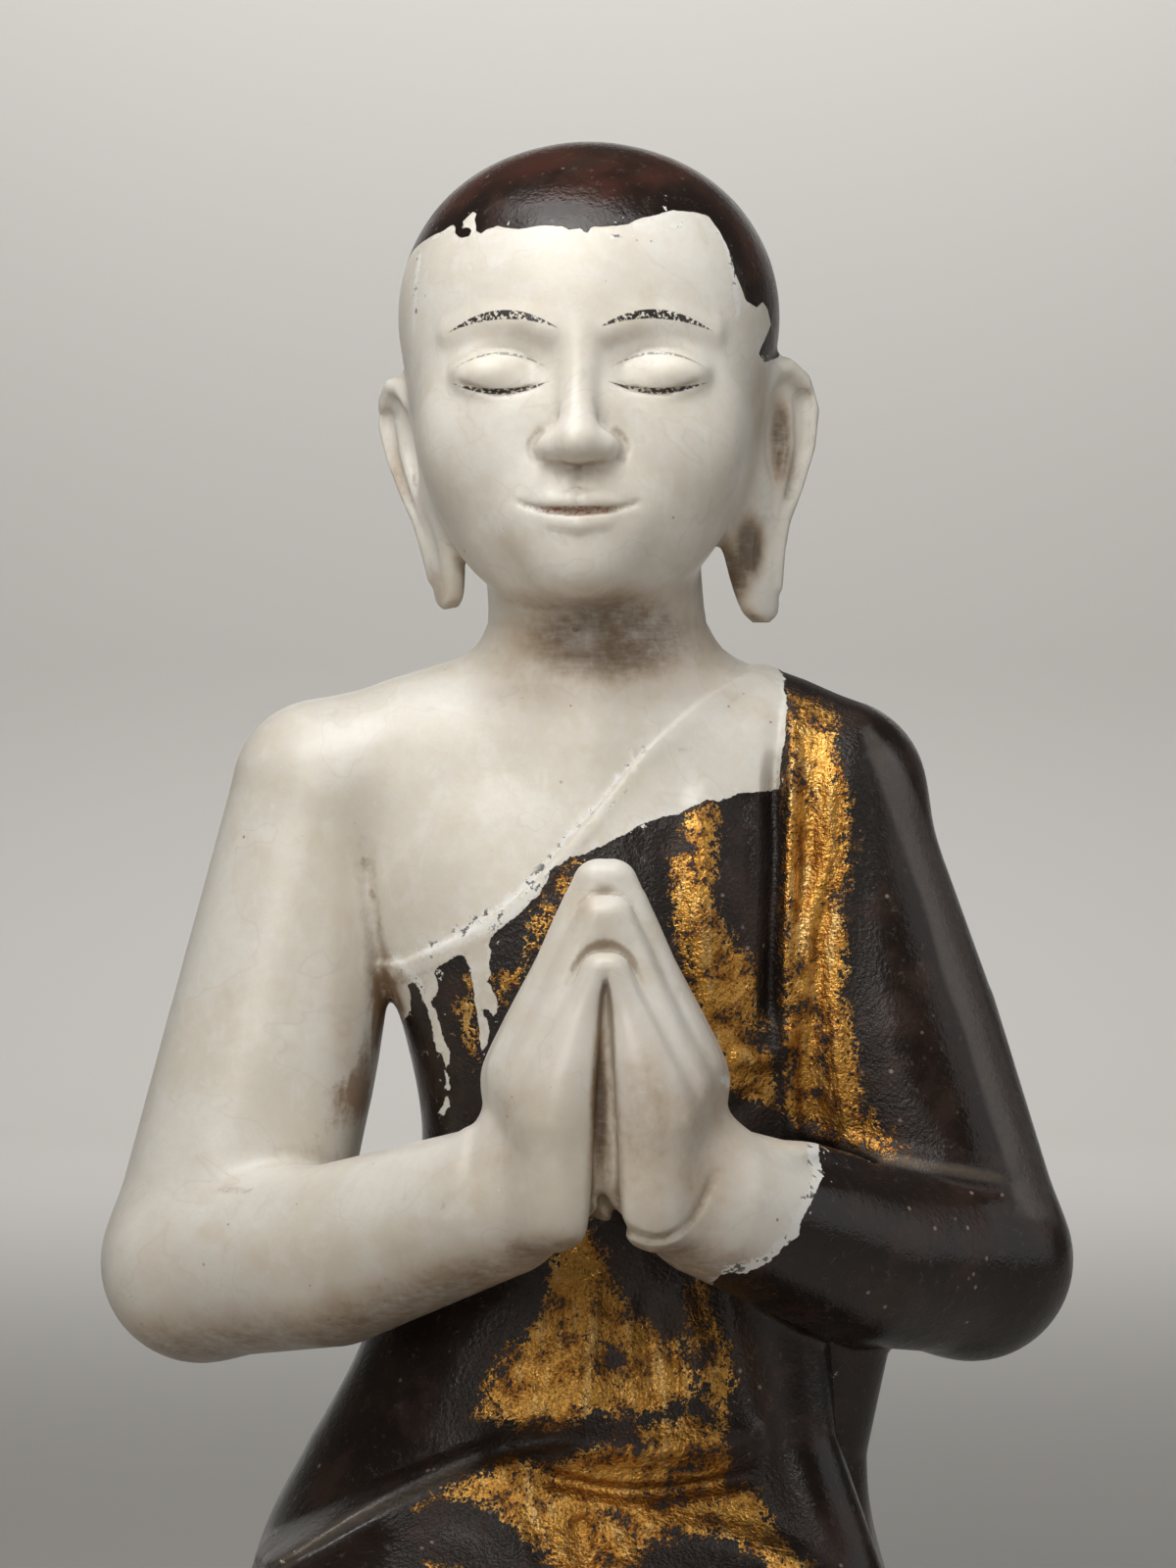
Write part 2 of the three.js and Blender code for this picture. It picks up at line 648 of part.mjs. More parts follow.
const planesError = (q, x, y, z) =>
  q[0] * x * x + 2 * q[1] * x * y + 2 * q[2] * x * z + 2 * q[3] * x + q[4] * y * y +
  2 * q[5] * y * z + 2 * q[6] * y + q[7] * z * z + 2 * q[8] * z + q[9];

// The point nearest to all the planes, or null where they don't fix one.
const nearestToPlanes = (q) => {
  const m = new THREE.Matrix3().set(q[0], q[1], q[2], q[1], q[4], q[5], q[2], q[5], q[7]);
  const size = q[0] + q[4] + q[7];
  if (abs(m.determinant()) < 1e-4 * size ** 3) return null;
  const p = new THREE.Vector3(-q[3], -q[6], -q[8]).applyMatrix3(m.invert());
  return [p.x, p.y, p.z];
};

// How much a place counts: the face and the hands keep more of the triangles than the rest.
const importance = ([x, y, z]) => {
  if (z > 415 && y < -20) return 12;
  if (z > 410) return 3;
  if (y < -70 && z > 200) return 6;
  return 1;
};

const thin = ({ vertices, triangles }, target) => {
  const position = Float64Array.from(vertices);
  const corners = Int32Array.from(triangles);
  const quadrics = new Float64Array((10 * position.length) / 3);
  const around = Array.from({ length: position.length / 3 }, () => []);
  const changes = new Int32Array(around.length);
  const at = (v) => [position[3 * v], position[3 * v + 1], position[3 * v + 2]];
  const three = (t) => [corners[3 * t], corners[3 * t + 1], corners[3 * t + 2]];

  const normalOf = (p, q, r) => {
    const [ux, uy, uz] = [q[0] - p[0], q[1] - p[1], q[2] - p[2]];
    const [vx, vy, vz] = [r[0] - p[0], r[1] - p[1], r[2] - p[2]];
    return [uy * vz - uz * vy, uz * vx - ux * vz, ux * vy - uy * vx];
  };

  for (let t = 0; t < corners.length / 3; t++) {
    const [a, b, c] = three(t);
    const n = normalOf(at(a), at(b), at(c));
    const length = hypot(...n) || 1e-12;
    const unit = n.map((v) => v / length);
    const p = at(a);
    const plane = [...unit, -(unit[0] * p[0] + unit[1] * p[1] + unit[2] * p[2])];
    for (const v of [a, b, c]) {
      around[v].push(t);
      addPlane(quadrics, 10 * v, plane, length * importance(p));
    }
  }

  const neighbours = (v) => {
    const found = new Set();
    for (const t of around[v]) for (const w of three(t)) if (w !== v) found.add(w);
    return found;
  };

  const heap = makeHeap();
  const offer = (a, b) => {
    const q = new Float64Array(10);
    for (let n = 0; n < 10; n++) q[n] = quadrics[10 * a + n] + quadrics[10 * b + n];
    const [p, r] = [at(a), at(b)];
    const middle = p.map((v, n) => (v + r[n]) / 2);
    const span = hypot(p[0] - r[0], p[1] - r[1], p[2] - r[2]);
    const best = nearestToPlanes(q);
    const good = best && hypot(...best.map((v, n) => v - middle[n])) < 1.5 * span;
    const place = good ? best : middle;
    const cost = planesError(q, ...place) + 1e-5 * span * span;
    heap.push({ a, b, place, cost, stamp: changes[a] + changes[b] });
  };
  for (let v = 0; v < around.length; v++) for (const w of neighbours(v)) if (v < w) offer(v, w);

  // Whether a triangle at v would turn over, or nearly so, with v moved to a new place.
  const turnsOver = (v, other, place) =>
    around[v].some((t) => {
      const ids = three(t);
      if (ids.includes(other)) return false;
      const before = normalOf(...ids.map(at));
      const after = normalOf(...ids.map((w) => (w === v ? place : at(w))));
      const dot = before[0] * after[0] + before[1] * after[1] + before[2] * after[2];
      return dot < 0.3 * hypot(...before) * hypot(...after) || hypot(...after) < 1e-3;
    });

  let left = corners.length / 3;
  while (left > target && heap.size > 0) {
    const { a, b, place, stamp } = heap.pop();
    if (!around[a] || !around[b] || stamp !== changes[a] + changes[b]) continue;
    const shared = around[a].filter((t) => around[b].includes(t));
    const near = neighbours(b);
    const common = [...neighbours(a)].filter((v) => near.has(v));
    if (shared.length !== 2 || common.length !== 2) continue;
    if (turnsOver(a, b, place) || turnsOver(b, a, place)) continue;
    place.forEach((v, n) => {
      position[3 * a + n] = v;
    });
    for (let n = 0; n < 10; n++) quadrics[10 * a + n] += quadrics[10 * b + n];
    for (const t of around[b])
      for (let n = 0; n < 3; n++) if (corners[3 * t + n] === b) corners[3 * t + n] = a;
    around[a] = [...around[a], ...around[b]].filter((t) => !shared.includes(t));
    for (const v of common) around[v] = around[v].filter((t) => !shared.includes(t));
    for (const t of shared) corners[3 * t] = -1;
    around[b] = null;
    left -= 2;
    changes[a] += changes[b] + 1;
    for (const v of neighbours(a)) offer(a, v);
  }

  const kept = new Map();
  const result = { vertices: [], triangles: [] };
  for (let t = 0; t < corners.length / 3; t++) {
    if (corners[3 * t] < 0) continue;
    for (const v of three(t)) {
      if (!kept.has(v)) {
        kept.set(v, kept.size);
        result.vertices.push(...at(v));
      }
      result.triangles.push(kept.get(v));
    }
  }
  return result;
};

// The room the figure is drawn in
const BOX = [[-180, -150, -12], [174, 142, 592]];

// Cuts the base flat at height 0.
const cutFlat = ({ vertices, triangles }) => {
  const solid = new wasm.Manifold(
    new wasm.Mesh({
      numProp: 3,
      vertProperties: Float32Array.from(vertices),
      triVerts: Uint32Array.from(triangles),
    }),
  );
  const box = new THREE.BoxGeometry(400, 400, 40).translate(0, 0, -20);
  box.deleteAttribute('normal');
  box.deleteAttribute('uv');
  const merged = mergeVertices(box);
  const below = new wasm.Manifold(
    new wasm.Mesh({
      numProp: 3,
      vertProperties: Float32Array.from(merged.getAttribute('position').array),
      triVerts: Uint32Array.from(merged.index.array),
    }),
  );
  const { vertProperties, triVerts } = solid.subtract(below).getMesh();
  const geometry = new THREE.BufferGeometry();
  geometry.setAttribute('position', new THREE.BufferAttribute(vertProperties, 3));
  geometry.setIndex(new THREE.BufferAttribute(triVerts, 1));
  return geometry;
};

const wasm = await Module();
wasm.setup();
const geometry = cutFlat(thin(draw(sample(statue(), BOX)), TRIANGLES));

const group = new THREE.Group();
const marble = new THREE.MeshStandardMaterial({ color: 0xe8e2d4, roughness: 0.35 });
const mesh = new THREE.Mesh(geometry, marble);
mesh.name = 'kneeling_monk';
group.add(mesh);
export default group;
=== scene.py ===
"""A kneeling monk in white marble with joined hands. His hair and robe are coated with dark lacquer and
worn gold leaf. The whole figure is one carved block with its low base.

The carving is a distance field in millimetres: a function of x, y and z, below zero inside. One surface is
drawn through its zero level. Smooth numbers on its points say where the lacquer, the gold, the dirt, the
painted shade and sheen and the painted lines lie, and the material turns them into crisp, broken edges.
"""
import math
from concurrent.futures import ThreadPoolExecutor

import bpy
import numpy as np
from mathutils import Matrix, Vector


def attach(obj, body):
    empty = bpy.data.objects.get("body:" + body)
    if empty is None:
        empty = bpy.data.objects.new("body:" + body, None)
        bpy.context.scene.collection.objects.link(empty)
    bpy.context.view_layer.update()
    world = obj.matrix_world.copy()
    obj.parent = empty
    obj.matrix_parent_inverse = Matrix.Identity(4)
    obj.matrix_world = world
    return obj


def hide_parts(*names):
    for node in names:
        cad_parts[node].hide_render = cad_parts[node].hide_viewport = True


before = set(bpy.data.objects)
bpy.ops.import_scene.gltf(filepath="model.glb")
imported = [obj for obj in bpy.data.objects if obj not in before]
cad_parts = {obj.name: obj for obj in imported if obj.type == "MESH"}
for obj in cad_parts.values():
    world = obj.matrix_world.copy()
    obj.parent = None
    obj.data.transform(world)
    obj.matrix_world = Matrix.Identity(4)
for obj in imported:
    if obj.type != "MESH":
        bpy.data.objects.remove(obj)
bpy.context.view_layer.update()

# Driving dimensions, in millimetres
BASE_AT = (-9, -4)
BASE_HALF_WIDTH = 143
BASE_HALF_DEPTH = 128
BASE_HEIGHT = 34
BASE_SQUARE = 3
HEAD_AT = (-4, 3, 500)
HEAD_WIDTH = 129
HEAD_HEIGHT = 160
HEAD_TURN = (0, 0, -3)
HANDS_AT = (1.5, -100, 227)
HANDS_LEAN = 6
NECK_RADIUS = 36
ROBE_THICK = 1.5

# The camera's place, from the photograph: it looks level along +Y. Its picture is 1200 by 1600 pixels, and
# 528 mm high in the upright plane through the middle of the figure. There the origin lies at ORIGIN_PIXEL.
CAMERA_AT = (-3.96, -1700, 363)
PICTURE_HEIGHT = 528
PIXEL = PICTURE_HEIGHT / 1600
ORIGIN_PIXEL = (612, 1900)

# Fineness of the drawn surface
CELL = 1.2
TRIANGLES = 196000
BOX_LOW = (-180, -146, -6)
BOX_HIGH = (174, 140, 592)

# The field is worked out in blocks of so many cells, and in slices of so many points side by side.
BLOCK = 8
SLICE = 60000
THREADS = 4


# Joining fields

# Relief is worked out this close to its body, and a boxed field this close to its box.
RELIEF_REACH = 12
BOX_REACH = 26


def lerp(a, b, t):
    return a + (b - a) * t


def smooth(start, end, value):
    t = np.clip((value - start) / (end - start), 0, 1)
    return t * t * (3 - 2 * t)


def join(k, d, e):
    """Smooth minimum of two distances over a width of about k."""
    h = np.maximum(k - np.abs(d - e), 0) / k
    return np.minimum(d, e) - h * h * k * 0.25


def blend(k, *fields):
    def field(x, y, z):
        d = fields[0](x, y, z)
        for other in fields[1:]:
            d = join(k, d, other(x, y, z))
        return d
    return field


def carve(k, body, *tools):
    tool = blend(k, *tools)
    return lambda x, y, z: -join(k, -body(x, y, z), tool(x, y, z))


def raised(body, height):
    """The body with its surface raised by a height, and lowered where the height is negative."""
    def field(x, y, z):
        d = body(x, y, z)
        near = np.abs(d) < RELIEF_REACH
        if near.any():
            d[near] -= height(x[near], y[near], z[near])
        return d
    return field


def turn_matrix(turn):
    a, b, c = [math.radians(v) for v in turn]
    about_x = np.array([[1, 0, 0], [0, math.cos(a), -math.sin(a)], [0, math.sin(a), math.cos(a)]])
    about_y = np.array([[math.cos(b), 0, math.sin(b)], [0, 1, 0], [-math.sin(b), 0, math.cos(b)]])
    about_z = np.array([[math.cos(c), -math.sin(c), 0], [math.sin(c), math.cos(c), 0], [0, 0, 1]])
    return about_x @ about_y @ about_z


def own_frame(at, turn, x, y, z):
    """Points given in a frame that sits at a place and is turned in degrees about X, Y and Z."""
    m = turn_matrix(turn)
    u, v, w = x - at[0], y - at[1], z - at[2]
    return [m[0][i] * u + m[1][i] * v + m[2][i] * w for i in range(3)]


def place(at, turn, field):
    return lambda x, y, z: field(*own_frame(at, turn, x, y, z))


def mirror(field):
    return lambda x, y, z: field(np.abs(x), y, z)


def within(low, high, field):
    """Works a field out only near its box. Further away the distance to the box stands for it."""
    def limited(x, y, z):
        gaps = [np.maximum(np.maximum(lo - v, v - hi), 0) for v, lo, hi in zip((x, y, z), low, high)]
        d = np.sqrt(gaps[0] ** 2 + gaps[1] ** 2 + gaps[2] ** 2)
        near = d < BOX_REACH
        if near.any():
            d[near] = field(x[near], y[near], z[near])
        return d
    return limited


# Plain fields

def egg(at, radii, turn=(0, 0, 0)):
    a, b, c = radii

    def field(x, y, z):
        k = np.sqrt((x / a) ** 2 + (y / b) ** 2 + (z / c) ** 2)
        g = np.sqrt((x / a ** 2) ** 2 + (y / b ** 2) ** 2 + (z / c ** 2) ** 2)
        return np.where(g > 1e-9, k * (k - 1) / np.maximum(g, 1e-9), -min(radii))
    return place(at, turn, field)


def limb(*stations):
    """A chain of round stretches through stations (x, y, z, radius)."""
    def field(x, y, z):
        best = np.full(x.shape, np.inf)
        for (ax, ay, az, ar), (bx, by, bz, br) in zip(stations, stations[1:]):
            dx, dy, dz = bx - ax, by - ay, bz - az
            length = dx * dx + dy * dy + dz * dz
            t = np.clip(((x - ax) * dx + (y - ay) * dy + (z - az) * dz) / length, 0, 1)
            away = np.sqrt((x - ax - dx * t) ** 2 + (y - ay - dy * t) ** 2 + (z - az - dz * t) ** 2)
            best = np.minimum(best, away - lerp(ar, br, t))
        return best
    return field


def along(rows):
    """Smooth curves through rows of (z, value, value, ...): gives the list of values at z."""
    table = np.array(rows, float)
    heights = table[:, 0]
    last = len(rows) - 1
    after = np.minimum(np.arange(last + 1) + 1, last)
    before = np.maximum(np.arange(last + 1) - 1, 0)
    slopes = (table[after] - table[before]) / (heights[after] - heights[before])[:, None]

    def values(z):
        at = np.clip(z, heights[0], heights[-1])
        i = np.clip(np.searchsorted(heights, at, side="left") - 1, 0, last - 1)
        span = heights[i + 1] - heights[i]
        t = (at - heights[i]) / span
        t2, t3 = t * t, t * t * t
        weights = (2 * t3 - 3 * t2 + 1, (t3 - 2 * t2 + t) * span, 3 * t2 - 2 * t3, (t3 - t2) * span)
        return [
            weights[0] * table[i, j] + weights[1] * slopes[i, j]
            + weights[2] * table[i + 1, j] + weights[3] * slopes[i + 1, j]
            for j in range(1, table.shape[1])
        ]
    return values


def oval(x, y, a, b, n):
    """Distance to the outline |x/a|^n + |y/b|^n = 1 in the plane."""
    u, v = np.abs(x) / a + 1e-6, np.abs(y) / b + 1e-6
    r = (u ** n + v ** n) ** (1 / n)
    return (r - 1) / (r ** (1 - n) * np.hypot(u ** (n - 1) / a, v ** (n - 1) / b))


def loft(rows):
    """A solid with oval sections: rows of (z, centre x, centre y, half width, half depth, square)."""
    at = along(rows)
    low, high = rows[0][0], rows[-1][0]

    def field(x, y, z):
        cx, cy, a, b, n = at(z)
        side = oval(x - cx, y - cy, a, b, n)
        end = np.maximum(low - z, z - high)
        return np.where((end > 0) & (side > 0), np.hypot(end, side), np.maximum(end, side))
    return field


# Relief: heights in millimetres over a surface, drawn in a plane

def spline(points):
    """A smooth line through points in a plane, as a list of close points."""
    p = np.array(points, float)
    last = len(p) - 1
    line = []
    steps = 4 * len(p)
    for step in range(steps + 1):
        at = step / steps * last
        i = min(int(at), last - 1) if at < last else last
        t = at - i
        before, here = p[max(i - 1, 0)], p[i]
        after, beyond = p[min(i + 1, last)], p[min(i + 2, last)]
        v0, v1 = (after - before) / 2, (beyond - here) / 2
        line.append((2 * here - 2 * after + v0 + v1) * t ** 3 + (3 * after - 3 * here - 2 * v0 - v1) * t ** 2
                    + v0 * t + here)
    return np.array(line)


def fold(height, width, *points):
    """A ridge, or a groove where the height is negative, along a smooth line. It fades out at both ends."""
    line = spline(points)
    p = np.array(points, float)
    low, high = p.min(axis=0) - 2 * width, p.max(axis=0) + 2 * width

    def relief(x, z):
        h = np.zeros(x.shape)
        near = (x > low[0]) & (x < high[0]) & (z > low[1]) & (z < high[1])
        if not near.any():
            return h
        px, pz = x[near], z[near]
        best = np.full(px.shape, np.inf)
        share = np.zeros(px.shape)
        for i, (a, b) in enumerate(zip(line, line[1:])):
            dx, dz = b - a
            t = np.clip(((px - a[0]) * dx + (pz - a[1]) * dz) / (dx * dx + dz * dz + 1e-12), 0, 1)
            away = (px - a[0] - dx * t) ** 2 + (pz - a[1] - dz * t) ** 2
            share = np.where(away < best, (i + t) / (len(line) - 1), share)
            best = np.minimum(best, away)
        fade = smooth(0, 0.15, share) * smooth(1, 0.85, share)
        h[near] = height * fade * (1 - smooth(0, width, np.sqrt(best)))
        return h
    return relief


def total(*reliefs):
    return lambda x, z: sum(relief(x, z) for relief in reliefs)


# Head, in a frame of its own: the eyes are at height 0, half way up the head, and the face is towards -Y

EYE_X = HEAD_WIDTH / 5
BROW_Z = 11
NOSE_Z = -31
MOUTH_Z = -48


def skull():
    return blend(
        18,
        blend(
            6,
            egg((0, 7, 20), (HEAD_WIDTH / 2 - 1, 67, HEAD_HEIGHT / 2 - 20)),
            mirror(egg((14, 7, 22), (48.5, 58, 51.5))),
        ),
        egg((0, -14, -20), (56, 46, 56)),
        egg((0, -25, -50), (37, 33, 29)),
    )


def nose():
    return blend(
        5,
        limb((0, -56, BROW_Z - 1, 4.6), (0, -61, -10, 5.2), (0, -66, NOSE_Z + 6, 6.6)),
        egg((0, -66.6, NOSE_Z + 5), (6.8, 7.4, 6)),
        mirror(egg((8.2, -61.2, NOSE_Z + 3.6), (4.9, 6.8, 4.8))),
    )


def lips():
    return blend(
        1.4,
        mirror(limb(
            (2.4, -62.7, MOUTH_Z + 3, 3.4), (9, -61, MOUTH_Z + 2.9, 2.9), (19, -55, MOUTH_Z + 2.4, 1.4),
        )),
        mirror(limb(
            (0, -62, MOUTH_Z - 4.2, 4), (8, -60.4, MOUTH_Z - 3.4, 3.5), (16, -56, MOUTH_Z - 0.2, 1.6),
        )),
    )


def face_lines():
    """Fine lines: the lid edges and creases, the mouth, the groove under the nose and round its wings."""
    lines = total(
        fold(-1.0, 1.6, (EYE_X - 14, -6.5), (EYE_X - 6, -8.6), (EYE_X + 3, -9), (EYE_X + 15, -5)),
        fold(-0.6, 2.2, (EYE_X - 13, -1), (EYE_X - 5, 4.4), (EYE_X + 6, 4.8), (EYE_X + 17, -0.5)),
        fold(
            -1.1, 1.8,
            (-8, MOUTH_Z), (0, MOUTH_Z - 0.6), (6, MOUTH_Z), (12, MOUTH_Z + 0.4), (22, MOUTH_Z + 3.4),
        ),
        fold(-0.8, 3, (0, NOSE_Z - 2), (0, MOUTH_Z + 7)),
        fold(-0.7, 2.4, (11, NOSE_Z + 10), (15.5, NOSE_Z + 4), (13, NOSE_Z - 2)),
    )

    def relief(x, y, z):
        return lines(np.abs(x), z) * smooth(-15, -25, y)
    return relief


def face():
    bare = blend(
        10,
        skull(),
        mirror(egg((30, -33, -22), (23, 21, 26))),
        egg((0, -50, -64), (15, 12, 12)),
        egg((0, -50, MOUTH_Z), (22, 11, 15)),
    )
    sockets = carve(12, bare, mirror(egg((EYE_X, -68.5, 1), (17, 9, 8.5), (0, 0, -24))))
    lids = mirror(egg((EYE_X, -45.4, -3), (17, 12.2, 9.5), (0, 0, -24)))
    brow = limb(
        (10, -57, 11, 1.7), (18, -55, 14.3, 2.2), (EYE_X + 4, -50.4, 15.2, 2.2),
        (EYE_X + 17, -41.8, 11.4, 1.6),
    )
    whole = blend(1.6, blend(4, blend(6, sockets, mirror(brow)), blend(4, nose(), lids)), lips())
    return raised(whole, face_lines())


# A long ear is a plate in a frame of its own: x runs out and back from the cheek, y is across it, z is up.
# The ears are placed in the head's frame, by a place and a turn.
EAR_ROWS = [
    (-82.5, 5, 0, 2.5, 3, 2.2),
    (-79.5, 4.6, 0, 6.5, 4.4, 2.4),
    (-72, 2.6, 0, 9, 5, 2.6),
    (-62, 0.6, 0, 11, 5.4, 2.6),
    (-52, -1.4, 0, 12.6, 5.4, 2.6),
    (-43, 0.5, 0, 12.5, 5, 2.6),
    (-33, 5, 0, 13.5, 4.6, 2.6),
    (-20, 9.4, 0, 15.6, 4.6, 2.6),
    (-9, 11.4, 0, 15.6, 4.6, 2.6),
    (-1, 11.4, 0, 12.6, 4.4, 2.5),
    (4, 10.4, 0, 7.4, 4, 2.4),
    (6.5, 9.5, 0, 2.5, 3, 2.2),
]
LEFT_EAR = ((55, 0, 0), (0, 0, 48))
RIGHT_EAR = ((57.5, 0, -4), (0, 10, 62))
RIGHT_EAR_SIZE = 0.9


def ear():
    # the rolled rim runs over the top and down the outer side to the lobe
    rim = limb(
        (3, -3.6, -4, 2.6), (6, -3.8, 2, 3.2), (13, -4, 3.6, 3.6), (20, -4, -0.5, 3.8), (24, -4, -10, 3.8),
        (22.5, -4, -22, 3.6), (17, -4, -36, 3.2), (11.6, -3.6, -48, 2.8), (9.6, -3.4, -58, 2.6),
        (9, -3, -70, 2.2),
    )
    inner = limb((14, -3.4, -10, 1.8), (14.5, -3.6, -22, 2.2), (10, -3.6, -38, 2), (7, -3.2, -48, 1.4))
    hollow = limb((19.4, -6.8, -7, 3.4), (18.6, -6.8, -22, 3.4), (13, -6.8, -38, 2.8))
    bowl = egg((7, -8, -20), (5.4, 7.6, 18), (0, -4, 0))
    lobe_hollow = egg((1, -8.4, -58), (5, 4.6, 13), (0, 10, 0))
    plate = blend(2.4, loft(EAR_ROWS), rim)
    return blend(1.8, carve(2.4, plate, hollow, bowl, lobe_hollow), inner)


def ears():
    left = place(*LEFT_EAR, ear())
    one, size = ear(), RIGHT_EAR_SIZE
    right = place(*RIGHT_EAR, lambda x, y, z: size * one(x / size, y / size, z / size))

    def field(x, y, z):
        d = np.empty(x.shape)
        side = x > 0
        d[side] = left(x[side], y[side], z[side])
        d[~side] = right(-x[~side], y[~side], z[~side])
        return d
    return field


# Both are used again where the hair's edge is set out.
face_only = face()
ears_only = within((-90, -25, -90), (90, 40, 12), ears())


def head():
    return place(HEAD_AT, HEAD_TURN, blend(5, face_only, ears_only))


# Body

def torso():
    return loft([
        (40, -8, 14, 110, 92, 2.4),
        (80, -12, 12, 107, 82, 2.4),
        (110, -11, 9, 101, 70, 2.3),
        (140, -5, 5, 92, 60, 2.2),
        (170, -1, 3, 80, 55, 2.2),
        (200, 0.5, 2, 69.5, 51, 2.2),
        (240, 1.5, 3, 60, 47, 2.2),
        (280, 0.5, 4, 65, 49, 2.3),
        (315, -2, 5, 76, 51, 2.4),
        (345, -3, 6, 78, 48, 2.4),
        (372, -2, 7, 66, 39, 2.3),
        (392, 0, 7, 48, 29, 2.1),
    ])


def shoulders():
    return blend(
        10,
        limb((-12, 6, 383, 27), (-92, 5, 363, 28.5)),
        limb((12, 6, 383, 27), (79, 5, 361.5, 27.5)),
        mirror(limb((20, 7, 397, 16), (60, 6, 379, 18))),
    )


def neck():
    """The neck, with two faint lines round it."""
    bare = limb((0, 7, 380, NECK_RADIUS + 5), (0, 5.5, 404, NECK_RADIUS + 0.6), (-3, 8, 450, NECK_RADIUS))

    def lines(x, y, z):
        return sum(-0.4 * (1 - smooth(0, 2, np.abs(z - at - 0.12 * y))) for at in (408, 417))
    return raised(bare, lines)


def right_arm():
    return blend(
        7,
        limb((-95.5, 5, 361, 28.4), (-112, 3, 277, 34.4), (-133.5, -4, 203, 32.4)),
        limb((-92, 3, 318, 24), (-101, 0, 262, 24.5), (-108, -2, 235, 26)),
        limb((-133.5, -6, 202.5, 32), (-88, -46, 208.5, 29.8), (-33, -91, 230, 24.5)),
    )


def left_upper_arm():
    return limb((78, 5, 358, 27.5), (98, 3, 279, 35.5), (124.5, -4, 204, 31.8))


def left_forearm():
    return limb((124.5, -6, 203.5, 31.8), (85, -46, 209, 30), (36, -91, 230, 24.5))


def hand():
    """One hand, thumb side towards the chest.

    x is out from the plane where the palms meet, z is up from the heel.
    """
    mitten = loft([
        (6, 0, 0, 12, 22, 2.2),
        (24, 1, 0, 15, 27, 2.3),
        (43, 0.5, 0, 15.5, 28, 2.4),
        (60, -3.5, 0, 12.6, 24.5, 2.4),
        (78, -8, 1, 8.6, 17, 2.3),
        (92, -11, 0, 6, 10, 2.2),
        (100, -12.5, 0, 4, 4.5, 2),
    ])
    heel = egg((15, -16, 9), (11.5, 13, 17), (0, -4, 0))
    thumb_mount = egg((21, 15, 20), (12, 13, 22))
    fingers = blend(
        2,
        limb((14, -17, 4, 9.6), (16, -17.5, 32, 11), (4, -15, 80, 4.7)),
        limb((22, -8, 42, 10), (4.3, -5.4, 96, 5.1)),
        limb((26, 2, 46, 10), (4.8, 4.2, 106, 5.3)),
        limb((28, 12.9, 42, 9.4), (5, 13.4, 98.6, 5.2)),
    )
    thumb = limb((15, 22, 24, 9.5), (11, 30, 45, 7.8), (7, 26, 66, 6.2))
    palm = blend(6, place((19, 0, 0), (0, 0, -22), mitten), heel, thumb_mount)
    # the lines between the fingers, cut into the back of the hand
    lines = total(
        fold(-0.8, 3, (-10, 84), (2, 86.5), (9, 80), (16, 66), (25, 49), (31, 38)),
        fold(-0.45, 2.6, (-10, 98), (2, 101), (9, 95), (20, 73), (30, 52)),
    )

    def soft(x, y, z):
        knuckles = lerp(7, 4, smooth(50, 78, z))
        return join(5, join(knuckles, palm(x, y, z), fingers(x, y, z)), thumb(x, y, z))
    return raised(soft, lambda x, y, z: lines(x, z) * smooth(6, 0, y))


# The narrow channel between the hands, in front: rows of (height, half width, its floor's y).
CHANNEL = along([
    (-20, 7.5, 2), (-6, 6, -4), (6, 4.8, -14), (16, 4.2, -19), (40, 3, -19.5), (66, 1.4, -17),
    (76, 0.2, -17), (84, -3, -17), (110, -3, -17),
])


def joined_hands():
    one = hand()
    web = egg((0, 2, 42), (8, 20, 44))

    def both(x, y, z):
        # the valley between the fingertips is filled
        filled = 1.8 * smooth(64, 86, z) * (1 - smooth(0, 9, np.abs(x)))
        return one(np.hypot(x, 2), y, z) - filled
    pair = blend(1.4, both, web)

    def channelled(x, y, z):
        half, bottom = CHANNEL(z)
        tool = np.maximum(np.abs(x) - half, y - bottom)
        return -join(3, -pair(x, y, z), tool)
    return place(HANDS_AT, (HANDS_LEAN, 0, 0), within((-42, -40, -18), (42, 42, 114), channelled))


# Robe

# The height of the robe's edge over x, in front and behind: low under the right arm, high on the left
# shoulder.
robe_edge = along([
    (-66, 305), (-52, 311.5), (-40, 318), (-22, 332), (-2, 355), (15, 375), (35, 393), (62, 410),
])


def front_folds():
    return total(
        # the folded strip over the left shoulder, and the channel beside it
        fold(2.2, 8, (84, 384), (82, 350), (80, 324), (78, 298), (79, 262), (84, 232)),
        fold(2.4, 5, (64, 392), (63.5, 350), (62.5, 300), (63, 262), (66, 236)),
        fold(2.2, 5, (78, 378), (75.2, 352), (74.3, 336), (69.3, 316), (67.8, 298), (66, 272)),
        fold(-1.6, 5.5, (61, 398), (58, 366), (57, 340), (56, 312), (55.5, 280)),
        fold(-3.2, 5.5, (57.8, 376), (57, 340), (56, 312), (55.5, 280)),
        # the turned end of the cloth, and the gathers that run from it over the chest
        fold(2, 6, (64, 284), (56, 272), (42, 273)),
        fold(1.8, 8, (33, 366), (34.5, 322), (37, 280)),
        fold(-1.3, 6, (46.5, 362), (47.5, 330), (46, 290)),
        fold(-1.5, 6, (22, 350), (24, 318), (28, 280)),
        fold(-1.8, 6, (54, 262), (40, 252), (26, 236)),
        # the folds of the belly
        fold(1.5, 7, (2, 206), (-4, 178), (0, 160)),
        fold(1.6, 6, (24, 200), (32, 180), (34, 160)),
        fold(-1.4, 5, (14, 198), (16, 178), (18, 162)),
    )


